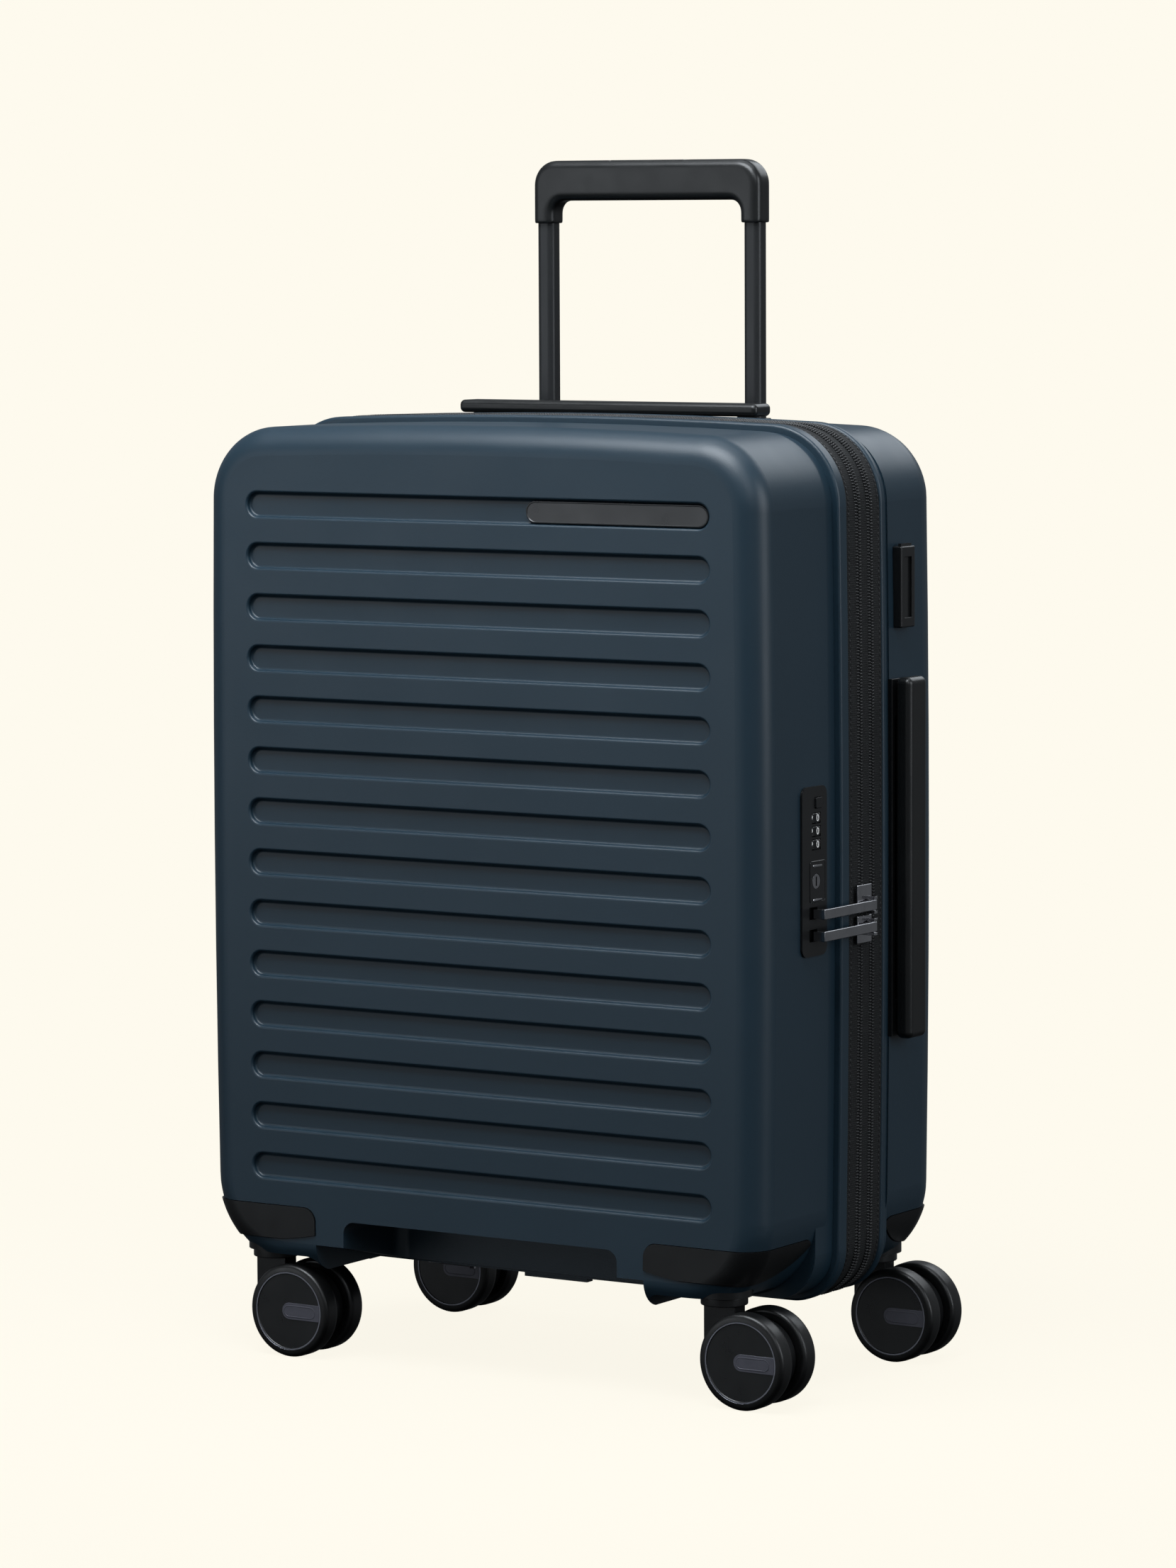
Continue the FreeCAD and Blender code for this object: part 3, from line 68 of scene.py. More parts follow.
# ---------------------------------------------------------------- materials
class Shader:
    """A Principled material with a few procedural layers added one by one."""

    def __init__(self, name, colour, roughness, **values):
        self.material = bpy.data.materials.new(name)
        self.material.use_nodes = True
        self.material.diffuse_color = (*colour, 1)
        self.tree = self.material.node_tree
        self.shader = self.tree.nodes["Principled BSDF"]
        self.colour = colour
        self.roughness = roughness
        self.set("Base Color", (*colour, 1))
        self.set("Roughness", roughness)
        for socket, value in values.items():
            self.set(socket.replace("_", " "), value)
        self.place = self.node("ShaderNodeTexCoord").outputs["Object"]
        self.height = None

    def set(self, socket, value):
        self.shader.inputs[socket].default_value = value

    def node(self, kind, **inputs):
        made = self.tree.nodes.new(kind)
        for socket, value in inputs.items():
            made.inputs[socket.replace("_", " ")].default_value = value
        return made

    def join(self, output, target):
        self.tree.links.new(output, target)

    def noise(self, size, detail=2.0, stretch=None):
        """Noise whose grains are about size metres across."""
        made = self.node("ShaderNodeTexNoise", Scale=1 / size, Detail=detail, Roughness=0.55)
        place = self.place
        if stretch:
            mapping = self.node("ShaderNodeMapping", Scale=stretch)
            self.join(place, mapping.inputs["Vector"])
            place = mapping.outputs["Vector"]
        self.join(place, made.inputs["Vector"])
        return made.outputs["Fac"]

    def spread(self, value, low, high):
        """Map a noise value from its usual span to low ... high."""
        made = self.node("ShaderNodeMapRange", From_Min=0.3, From_Max=0.7, To_Min=low, To_Max=high)
        self.join(value, made.inputs["Value"])
        return made.outputs["Result"]

    def mottle(self, size, amount):
        """Vary the colour a little in soft patches."""
        ramp = self.node("ShaderNodeMix")
        ramp.data_type = "RGBA"
        ramp.inputs["A"].default_value = (*[c * (1 - amount) for c in self.colour], 1)
        ramp.inputs["B"].default_value = (*[min(1, c * (1 + amount)) for c in self.colour], 1)
        self.join(self.spread(self.noise(size, 3), 0, 1), ramp.inputs["Factor"])
        self.join(ramp.outputs["Result"], self.shader.inputs["Base Color"])
        return self

    def wear(self, size, amount):
        """Vary the gloss, as handling does."""
        self.join(self.spread(self.noise(size, 5), self.roughness - amount, self.roughness + amount),
                  self.shader.inputs["Roughness"])
        return self

    def bump(self, value, depth, strength=1.0):
        """Add one layer of relief, depth metres high."""
        made = self.node("ShaderNodeBump", Strength=strength, Distance=depth)
        self.join(value, made.inputs["Height"])
        if self.height:
            self.join(self.height, made.inputs["Normal"])
        self.height = made.outputs["Normal"]
        self.join(self.height, self.shader.inputs["Normal"])
        return self

    def grain(self, size, depth, strength=1.0):
        return self.bump(self.noise(size, 2), depth, strength)

    def leather_grain(self, size, depth, strength=1.0):
        """Fine cells, as on a moulded grained surface."""
        cells = self.node("ShaderNodeTexVoronoi", Scale=1 / size)
        self.join(self.place, cells.inputs["Vector"])
        return self.bump(cells.outputs["Distance"], depth, strength)

    def brush(self, along, size, depth, strength=1.0):
        """Fine lines along one axis."""
        stretch = [1.0, 1.0, 1.0]
        stretch["xyz".index(along)] = 0.02
        return self.bump(self.noise(size, 2, stretch), depth, strength)

    def crossed_waves(self, place, directions, pitch, distortion, combine):
        """Height of two crossed sets of threads, pitch metres apart."""
        heights = []
        for direction in directions:
            wave = self.node("ShaderNodeTexWave", Scale=0.5 / pitch / math.pi, Distortion=distortion,
                             Detail=1.0)
            wave.bands_direction = direction
            self.join(place, wave.inputs["Vector"])
            heights.append(wave.outputs["Fac"])
        mixed = self.node("ShaderNodeMath")
        mixed.operation = combine
        for i, height in enumerate(heights):
            self.join(height, mixed.inputs[i])
        return mixed.outputs["Value"]

    def weave(self, pitch, depth, strength=1.0):
        """Two crossed sets of threads, laid by the piece's UV map in metres."""
        uv = self.node("ShaderNodeTexCoord").outputs["UV"]
        return self.bump(self.crossed_waves(uv, "XY", pitch, 0.6, "MULTIPLY"), depth, strength)

    def cloth(self, pitch, depth, strength=1.0):
        """Threads for a piece with no UV map: crossed waves in space."""
        return self.bump(self.crossed_waves(self.place, "XZ", pitch, 0.8, "ADD"), depth, strength)


def make_materials():
    """Every material, by name."""
    black = (0.0060, 0.0064, 0.0068)
    made = {
        "navy_shell": Shader("navy_shell", (0.0105, 0.0275, 0.0430), 0.40, Specular_IOR_Level=0.5)
        .mottle(0.12, 0.05).wear(0.05, 0.03).leather_grain(0.9 * MM, 0.05 * MM, 0.30)
        .grain(0.35 * MM, 0.03 * MM, 0.25),
        "black_plastic": Shader("black_plastic", black, 0.34).mottle(0.03, 0.12).wear(0.02, 0.05)
        .grain(0.5 * MM, 0.02 * MM, 0.35),
        "soft_black": Shader("soft_black", (0.0050, 0.0056, 0.0058), 0.32).mottle(0.03, 0.1).wear(0.02, 0.05)
        .leather_grain(0.5 * MM, 0.03 * MM, 0.25),
        "gloss_black": Shader("gloss_black", (0.008, 0.0085, 0.009), 0.17).mottle(0.02, 0.1).wear(0.012, 0.04)
        .grain(1.5 * MM, 0.008 * MM, 0.3),
        "wheel_tread": Shader("wheel_tread", (0.0040, 0.0041, 0.0042), 0.36).mottle(0.012, 0.15)
        .wear(0.01, 0.07).grain(0.6 * MM, 0.03 * MM, 0.4),
        "disc_black": Shader("disc_black", (0.009, 0.0095, 0.010), 0.30).mottle(0.02, 0.1).wear(0.012, 0.04)
        .grain(0.4 * MM, 0.012 * MM, 0.4),
        "ring_grey": Shader("ring_grey", (0.23, 0.235, 0.27), 0.36, Metallic=0.6).mottle(0.01, 0.08)
        .wear(0.01, 0.05).grain(0.4 * MM, 0.01 * MM, 0.3),
        "inlay_grey": Shader("inlay_grey", (0.085, 0.085, 0.105), 0.38, Metallic=0.25).mottle(0.01, 0.08)
        .wear(0.01, 0.05).grain(0.35 * MM, 0.015 * MM, 0.5),
        "tube_black": Shader("tube_black", (0.020, 0.0212, 0.0225), 0.36, Metallic=0.35).mottle(0.05, 0.06)
        .wear(0.04, 0.04).brush("z", 0.5 * MM, 0.01 * MM, 0.4),
        "dark_chrome": Shader("dark_chrome", (0.46, 0.46, 0.48), 0.14, Metallic=1.0).mottle(0.01, 0.08)
        .wear(0.006, 0.05).grain(1.2 * MM, 0.01 * MM, 0.25),
        "steel": Shader("steel", (0.42, 0.42, 0.43), 0.30, Metallic=1.0).mottle(0.01, 0.08)
        .wear(0.006, 0.06).grain(0.5 * MM, 0.01 * MM, 0.3),
        "zip_tape": Shader("zip_tape", (0.0085, 0.0092, 0.0098), 0.78, Specular_IOR_Level=0.35)
        .mottle(0.004, 0.25).weave(0.62 * MM, 0.16 * MM, 0.9).grain(0.25 * MM, 0.05 * MM, 0.5),
        "zip_teeth": Shader("zip_teeth", (0.012, 0.0125, 0.0135), 0.42).mottle(0.003, 0.2).wear(0.003, 0.08)
        .grain(0.25 * MM, 0.02 * MM, 0.4),
        "lining": Shader("lining", (0.030, 0.032, 0.038), 0.75, Specular_IOR_Level=0.3)
        .mottle(0.02, 0.12).cloth(0.8 * MM, 0.08 * MM, 0.7).grain(6 * MM, 0.4 * MM, 0.35),
        "webbing": Shader("webbing", (0.016, 0.017, 0.019), 0.7, Specular_IOR_Level=0.3)
        .mottle(0.01, 0.15).cloth(1.1 * MM, 0.2 * MM, 0.8),
        "mesh_cloth": Shader("mesh_cloth", (0.022, 0.0235, 0.027), 0.8, Specular_IOR_Level=0.25)
        .mottle(0.02, 0.12).cloth(1.6 * MM, 0.25 * MM, 0.9).grain(8 * MM, 0.3 * MM, 0.3),
        "card": Shader("card", (0.010, 0.0105, 0.011), 0.22).mottle(0.01, 0.1).wear(0.01, 0.03)
        .grain(2 * MM, 0.01 * MM, 0.3),
        # Dial figures: white paint plus a faint painted glow (emission), so they read bright whatever light
        # reaches them.
        "digit_white_painted_glow": Shader("digit_white_painted_glow", (0.92, 0.92, 0.90), 0.5, Emission_Color=(1, 1, 1, 1),
                              Emission_Strength=0.12).mottle(0.001, 0.06)
        .grain(0.2 * MM, 0.005 * MM, 0.3),
        "plate": Shader("plate", (0.010, 0.0105, 0.0115), 0.25).mottle(0.02, 0.1).wear(0.015, 0.03)
        .grain(0.8 * MM, 0.006 * MM, 0.3),
    }
    return {name: shader.material for name, shader in made.items()}


MATERIALS = make_materials()
CAD_LOOKS = {
    "navy_shell": "navy_shell", "black_plastic": "black_plastic", "lock_plastic": "black_plastic",
    "dial_plastic": "gloss_black", "grip_plastic": "soft_black", "wheel_tread": "wheel_tread",
    "axle_steel": "steel", "tube_aluminium": "tube_black", "zip_tape": "zip_tape",
    "dark_chrome": "dark_chrome", "lining_fabric": "lining", "plate_metal": "plate", "tag_paper": "card",
}


def paint_frame():
    """Give every CAD node the material of its slot."""
    for name, obj in frame["nodes"].items():
        obj.data.materials.clear()
        obj.data.materials.append(MATERIALS[CAD_LOOKS[SLOT_OF[name]]])


# ---------------------------------------------------------------- mesh helpers
def add_piece(name, mesh, body, replaced=()):
    """Put a mesh in the scene as a piece that rides on a body, if it has one."""
    obj = bpy.data.objects.new(name, mesh)
    SCENE.collection.objects.link(obj)
    if body:
        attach(obj, body)
    if replaced:
        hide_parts(*replaced)
    return obj


def grid_mesh(name, rows, material, closed_rows=True, closed_columns=True):
    """Skin through rows of points; rows and columns can close on themselves."""
    points = np.asarray(rows, float)
    count, width = points.shape[:2]
    faces = []
    for i in range(count if closed_rows else count - 1):
        for j in range(width if closed_columns else width - 1):
            k, m = (i + 1) % count, (j + 1) % width
            faces.append((i * width + j, k * width + j, k * width + m, i * width + m))
    mesh = bpy.data.meshes.new(name)
    mesh.from_pydata(points.reshape(-1, 3).tolist(), [], faces)
    mesh.materials.append(MATERIALS[material])
    mesh.polygons.foreach_set("use_smooth", [True] * len(mesh.polygons))
    return mesh


def fix_normals(mesh):
    made = bmesh.new()
    made.from_mesh(mesh)
    bmesh.ops.recalc_face_normals(made, faces=made.faces)
    made.to_mesh(mesh)
    made.free()
    return mesh


def soft_copy(node, width, segments=2, material=None, angle=32):
    """Stand-in for a CAD node with the same shape and small rounded edges."""
    source = frame["nodes"][node]
    made = bmesh.new()
    made.from_mesh(source.data)
    bmesh.ops.remove_doubles(made, verts=made.verts, dist=0.002 * MM)
    bmesh.ops.dissolve_limit(made, angle_limit=math.radians(0.6), verts=made.verts, edges=made.edges)
    mesh = bpy.data.meshes.new(node + "_soft")
    made.to_mesh(mesh)
    made.free()
    mesh.materials.clear()
    mesh.materials.append(MATERIALS[material or CAD_LOOKS[SLOT_OF[node]]])
    mesh.polygons.foreach_set("use_smooth", [True] * len(mesh.polygons))
    obj = add_piece(node + "_soft", mesh, BODY_OF[node], [node])
    bevel = obj.modifiers.new("edges", "BEVEL")
    bevel.width = width
    bevel.segments = segments
    bevel.limit_method = "ANGLE"
    bevel.angle_limit = math.radians(angle)
    bevel.use_clamp_overlap = True
    bevel.harden_normals = True
    weighted = obj.modifiers.new("normals", "WEIGHTED_NORMAL")
    weighted.keep_sharp = True
    return obj


# ---------------------------------------------------------------- zips
COIL_RISE = 3.9 * MM       # how far the coils stand outside the walls
TAPE_RISE = 3.0 * MM
TOOTH_PITCH = 1.7 * MM


def even_ring(corners, spacing, rounds):
    """Evenly spaced, smoothed points round a closed outline, with outward normals, tangents and runs."""
    ring = np.concatenate([corners, corners[:1]])
    runs = np.concatenate([[0], np.cumsum(np.hypot(*(ring[1:] - ring[:-1]).T))])
    count = round(runs[-1] / spacing)
    steps = np.arange(count) * runs[-1] / count
    points = np.stack([np.interp(steps, runs, ring[:, i]) for i in (0, 1)], axis=1)
    for _ in range(rounds):
        points = (np.roll(points, 1, 0) + 2 * points + np.roll(points, -1, 0)) / 4
    tangents = np.roll(points, -1, 0) - np.roll(points, 1, 0)
    tangents /= np.hypot(*tangents.T)[:, None]
    normals = np.stack([tangents[:, 1], -tangents[:, 0]], axis=1)
    if (normals * (points - points.mean(0))).sum() < 0:
        normals = -normals
    return points, normals, tangents, steps


def case_outline(rise, spacing):
    """Evenly spaced points round the case, rise outside its walls, with outward normals and run lengths."""
    mesh = frame["nodes"]["middle_zip_band"].data
    flat = [(v.co.x, v.co.z) for v in mesh.vertices]
    hull = np.array([flat[i] for i in convex_hull_2d(flat)])
    keep = [hull[0]]
    for point in hull[1:]:
        if np.hypot(*(point - keep[-1])) > 0.2 * MM:
            keep.append(point)
    points, normals, tangents, steps = even_ring(np.array(keep), spacing, 6)
    return points + normals * (rise - COIL_RISE), normals, tangents, steps


def sweep_band(name, profile, material):
    """Closed ring whose section is a list of (y, rise) points, with a UV map in metres."""
    points, normals, _, steps = case_outline(0, 4 * MM)
    rows = []
    for point, normal in zip(points, normals):
        rows.append([(point[0] + normal[0] * rise, y, point[1] + normal[1] * rise) for y, rise in profile])
    mesh = grid_mesh(name, rows, material)
    layer = mesh.uv_layers.new(name="metres")
    total = steps[-1] + steps[1]
    across = np.concatenate([[0], np.cumsum([math.dist(profile[i], profile[i - 1])
                                             for i in range(1, len(profile))])])
    width, count = len(profile), len(points)
    for polygon in mesh.polygons:
        row = polygon.vertices[0] // width
        for loop in polygon.loop_indices:
            vertex = mesh.loops[loop].vertex_index
            run = steps[vertex // width]
            if row == count - 1 and vertex // width == 0:
                run = total
            layer.data[loop].uv = (run, across[vertex % width])
    return fix_normals(mesh)


def tape_profile(start, end, seam_at_start):
    """Section of a zip tape: a rounded strip with a sewn line near its fixed edge."""
    thickness = 1.2 * MM
    seam = start + 2.2 * MM if seam_at_start else end - 2.2 * MM
    top = []
    for i in range(25):
        y = start + (end - start) * i / 24
        edge = min(y - start, end - y)
        sink = 0.5 * MM * max(0, 1 - edge / (0.8 * MM)) ** 2
        stitch = 0.35 * MM * math.exp(-((y - seam) / (0.35 * MM)) ** 2)
        top.append((y, TAPE_RISE - sink - stitch))
    return top + [(end, TAPE_RISE - thickness), (start, TAPE_RISE - thickness)]


def tooth_rows(name, columns, pitch, size, material):
    """Rows of small rounded teeth round the case: columns are (middle y, phase) pairs."""
    points, normals, tangents, _ = case_outline(TAPE_RISE, pitch)
    half_y, half_run, height = size[0] / 2, size[1] / 2, size[2]
    arc = [(-1.0, 0.0), (-0.72, 0.62), (0.0, 1.0), (0.72, 0.62), (1.0, 0.0)]
    ends = [(-1.0, 0.45), (-0.62, 1.0), (0.62, 1.0), (1.0, 0.45)]
    verts, faces = [], []
    for middle, phase in columns:
        for point, normal, tangent in zip(points, normals, tangents):
            base = len(verts)
            for across, scale in ends:
                for along, up in arc:
                    run = (along * half_run * (0.6 + 0.4 * scale)) + phase * pitch
                    rise = up * height * scale - 0.15 * MM
                    verts.append((point[0] + tangent[0] * run + normal[0] * rise, middle + across * half_y,
                                  point[1] + tangent[1] * run + normal[1] * rise))
            for i in range(3):
                for j in range(4):
                    a = base + i * 5 + j
                    faces.append((a, a + 5, a + 6, a + 1))
            faces.append(tuple(base + j for j in range(5)))
            faces.append(tuple(base + 19 - j for j in range(5)))
    mesh = bpy.data.meshes.new(name)
    mesh.from_pydata(verts, [], faces)
    mesh.materials.append(MATERIALS[material])
    mesh.polygons.foreach_set("use_smooth", [True] * len(mesh.polygons))
    return fix_normals(mesh)


def make_zips():
    """Woven tapes, coils and stitches of the two zips."""
    for node in ("front_zip_tape", "middle_zip_band", "back_zip_tape"):
        low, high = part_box(node)
        profile = tape_profile(low.y, high.y, node == "front_zip_tape")
        add_piece(node + "_cloth", sweep_band(node + "_cloth", profile, "zip_tape"), BODY_OF[node],
                  [node])
    size = (2.5 * MM, 1.15 * MM, 0.85 * MM)
    front_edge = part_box("front_zip_tape")[1].y
    middle_low, middle_high = (corner.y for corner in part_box("middle_zip_band"))
    back_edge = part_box("back_zip_tape")[0].y
    inset = 1.4 * MM
    rows = {"front_half": [(front_edge - inset, 0.0)],
            "middle_ring": [(middle_low + inset, 0.5), (middle_high - inset, 0.0)],
            "back_half": [(back_edge + inset, 0.5)]}
    for body, columns in rows.items():
        name = body + "_zip_teeth"
        add_piece(name, tooth_rows(name, columns, TOOTH_PITCH, size, "zip_teeth"), body)
    stitch = (0.5 * MM, 2.2 * MM, 0.32 * MM)
    front_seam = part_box("front_zip_tape")[0].y + 2.2 * MM
    back_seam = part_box("back_zip_tape")[1].y - 2.2 * MM
    for body, seam in (("front_half", front_seam), ("back_half", back_seam)):
        name = body + "_stitches"
        add_piece(name, tooth_rows(name, [(seam, 0.0)], 3.0 * MM, stitch, "zip_teeth"), body)


# ---------------------------------------------------------------- wheels
WHEEL_RINGS = [            # radius, distance from the inner face, material
    (3.1, 0.6, "disc_black"), (6.5, 0.6, "disc_black"), (7.5, 1.6, "disc_black"), (18.5, 1.6, "disc_black"),
    (19.6, 0.5, "disc_black"), (23.4, 0.15, "wheel_tread"), (24.3, 0.0, "wheel_tread"),
    (25.2, 0.25, "wheel_tread"), (26.0, 0.9, "wheel_tread"), (26.42, 1.9, "wheel_tread"),
    (26.5, 3.2, "wheel_tread"), (26.5, 9.1, "wheel_tread"), (26.42, 10.2, "wheel_tread"),
    (26.0, 11.2, "wheel_tread"), (25.2, 11.85, "wheel_tread"), (24.3, 12.15, "wheel_tread"),
    (22.35, 12.3, "wheel_tread"), (22.2, 12.1, "ring_grey"), (22.15, 12.25, "ring_grey"),
    (21.55, 12.25, "ring_grey"), (21.45, 11.95, "disc_black"), (21.2, 11.75, "disc_black"),
    (3.1, 11.75, "disc_black"),
]
WHEEL_SIDES = 96


def wheel_mesh(name, centre, inner_y, outward):
    """Lathe of one wheel; outward is the y direction of its outer face."""
    materials = ["disc_black", "wheel_tread", "ring_grey"]
    rows = []
    for step in range(WHEEL_SIDES):
        turn = 2 * math.pi * step / WHEEL_SIDES
        rows.append([(centre.x + radius * MM * math.cos(turn), inner_y + outward * depth * MM,
                      centre.z + radius * MM * math.sin(turn)) for radius, depth, _ in WHEEL_RINGS])
    mesh = grid_mesh(name, rows, materials[0])
    for extra in materials[1:]:
        mesh.materials.append(MATERIALS[extra])
    width = len(WHEEL_RINGS)
    for polygon in mesh.polygons:
        ring = min(vertex % width for vertex in polygon.vertices)
        spans_seam = max(vertex % width for vertex in polygon.vertices) - ring > 1
        polygon.material_index = materials.index("disc_black" if spans_seam else WHEEL_RINGS[ring + 1][2])
    fix_normals(mesh)
    mesh.set_sharp_from_angle(angle=math.radians(38))
    return mesh


def plate_mesh(name, outline, y_base, outward, layers, material):
    """Flat plate from an (x, z) outline; layers are (inset, height) pairs from its foot to its face."""
    made = bmesh.new()
    outline = np.array(outline)
    ahead = np.roll(outline, -1, 0) - outline
    behind = outline - np.roll(outline, 1, 0)
    tangent = ahead / np.hypot(*ahead.T)[:, None] + behind / np.hypot(*behind.T)[:, None]
    tangent /= np.hypot(*tangent.T)[:, None]
    inward = np.stack([-tangent[:, 1], tangent[:, 0]], axis=1)
    if (inward * (outline.mean(0) - outline)).sum() < 0:
        inward = -inward
    rings = []
    for inset, height in layers:
        shifted = outline + inward * inset
        rings.append([made.verts.new((x, y_base + outward * height, z)) for x, z in shifted])
    for low, high in zip(rings, rings[1:]):
        for i in range(len(low)):
            j = (i + 1) % len(low)
            made.faces.new((low[i], low[j], high[j], high[i]))
    made.faces.new(rings[-1])
    made.faces.new(list(reversed(rings[0])))
    bmesh.ops.recalc_face_normals(made, faces=made.faces)
    mesh = bpy.data.meshes.new(name)
    made.to_mesh(mesh)
    made.free()
    mesh.materials.append(MATERIALS[material])
    mesh.polygons.foreach_set("use_smooth", [True] * len(mesh.polygons))
    mesh.set_sharp_from_angle(angle=math.radians(30))
    return mesh


def inlay_outline(centre, radius, reach, round_radius):
    """Plate from near a wheel's middle to its ring: one round end, one end that follows the ring."""
    points = []
    lean = math.asin(round_radius / reach)
    for i in range(17):
        turn = math.pi / 2 + math.pi * i / 16
        points.append((centre.x + radius + round_radius * math.cos(turn),
                       centre.z + round_radius * math.sin(turn)))
    for i in range(9):
        turn = -lean + 2 * lean * i / 8
        points.append((centre.x + reach * math.cos(turn), centre.z + reach * math.sin(turn)))
    return points


def stadium(left, right, middle, half, steps=16):
    """Outline of a long shape with round ends."""
    points = []
    for side, start in ((right - half, -math.pi / 2), (left + half, math.pi / 2)):
        for i in range(steps + 1):
            turn = start + math.pi * i / steps
            points.append((side + half * math.cos(turn), middle + half * math.sin(turn)))
    return points


def make_wheels():
    """Eight wheels with a metal ring and a plain inlay on their outer faces."""
    for depth, side in CORNERS:
        for letter, outward in (("a", -1), ("b", 1)):
            node = "%s_%s_wheel_%s" % (depth, side, letter)
            low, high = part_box(node)
            centre = (low + high) / 2
            inner_y, outer_y = (low.y, high.y) if outward > 0 else (high.y, low.y)
            add_piece(node + "_tyre", wheel_mesh(node + "_tyre", centre, inner_y, outward), BODY_OF[node],
                      [node])
            face = outer_y - outward * 0.55 * MM
            outline = inlay_outline(centre, 0.3 * MM, 21.3 * MM, 4.75 * MM)
            layers = [(0, -0.1 * MM), (0, 0.12 * MM), (0.15 * MM, 0.25 * MM)]
            add_piece(node + "_inlay", plate_mesh(node + "_inlay", outline, face, outward, layers,
                                                  "inlay_grey"), BODY_OF[node])
            rim = stadium(centre.x - 3.3 * MM, centre.x + 18.2 * MM, centre.z, 3.5 * MM)
            layers = [(0, 0), (0.05 * MM, 0.36 * MM), (0.2 * MM, 0.42 * MM), (0.5 * MM, 0.42 * MM),
                      (0.65 * MM, 0.3 * MM)]
            add_piece(node + "_rim", plate_mesh(node + "_rim", rim, face, outward, layers,
                                                "inlay_grey"), BODY_OF[node])


# ---------------------------------------------------------------- lock
def digit_mesh(name, places, size, material):
    """White figures standing on surfaces: places are (character, matrix) pairs."""
    made = bmesh.new()
    for character, matrix in places:
        curve = bpy.data.curves.new("figure", "FONT")
        curve.body = character
        curve.size = size
        curve.extrude = 0.04 * MM
        curve.align_x = "CENTER"
        curve.align_y = "CENTER"
        holder = bpy.data.objects.new("figure", curve)
        SCENE.collection.objects.link(holder)
        bpy.context.view_layer.update()
        mesh = bpy.data.meshes.new_from_object(holder)
        mesh.transform(matrix)
        made.from_mesh(mesh)
        bpy.data.objects.remove(holder)
        bpy.data.curves.remove(curve)
        bpy.data.meshes.remove(mesh)
    mesh = bpy.data.meshes.new(name)
    made.to_mesh(mesh)
    made.free()
    mesh.materials.clear()
    mesh.materials.append(MATERIALS[material])
    return mesh


def make_dials():
    """Dials with grip notches and ten figures round each."""
    for number in (1, 2, 3):
        node = "lock_dial_%d" % number
        low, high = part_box(node)
        centre = (low + high) / 2
        radius, half = (high.x - low.x) / 2, (high.z - low.z) / 2
        rows = []
        count = 120
        for step in range(count):
            turn = 2 * math.pi * step / count
            notch = 0.35 * MM if step % 12 in (5, 6, 7) else 0.0
            edge = radius - notch
            section = [(1.6 * MM, -half), (edge - 0.4 * MM, -half), (edge, -half + 0.4 * MM),
                       (edge, half - 0.4 * MM), (edge - 0.4 * MM, half), (1.6 * MM, half)]
            rows.append([(centre.x + r * math.cos(turn), centre.y + r * math.sin(turn), centre.z + z)
                         for r, z in section])
        mesh = fix_normals(grid_mesh(node + "_ring", rows, "gloss_black"))
        mesh.set_sharp_from_angle(angle=math.radians(35))
        add_piece(node + "_ring", mesh, BODY_OF[node], [node])
        places = []
        for figure in range(10):
            turn = 2 * math.pi * figure / 10
            outward = Vector((math.cos(turn), math.sin(turn), 0))
            across = Vector((-math.sin(turn), math.cos(turn), 0))
            matrix = Matrix((across, Vector((0, 0, 1)), outward)).transposed().to_4x4()
            matrix.translation = centre + outward * (radius + 0.01 * MM)
            places.append((str(figure), matrix))
        add_piece(node + "_figures", digit_mesh(node + "_figures", places, 5.4 * MM, "digit_white_painted_glow"),
                  BODY_OF[node])


def on_side(name, outline, x_base, layers, material, body):
    """Plate on a wall that faces +X; the outline is in (y, z)."""
    mesh = plate_mesh(name, outline, 0, 1, layers, material)
    mesh.transform(Matrix(((0, 1, 0, x_base), (1, 0, 0, 0), (0, 0, 1, 0), (0, 0, 0, 1))))
    return add_piece(name, fix_normals(mesh), body)


def round_box(low, high, radius, steps=6):
    """Rectangle with round corners between two corners of a plane."""
    points = []
    corners = [(high[0] - radius, low[1] + radius, -math.pi / 2), (high[0] - radius, high[1] - radius, 0),
               (low[0] + radius, high[1] - radius, math.pi / 2), (low[0] + radius, low[1] + radius, math.pi)]
    for x, z, start in corners:
        for i in range(steps + 1):
            turn = start + math.pi / 2 * i / steps
            points.append((x + radius * math.cos(turn), z + radius * math.sin(turn)))
    return points


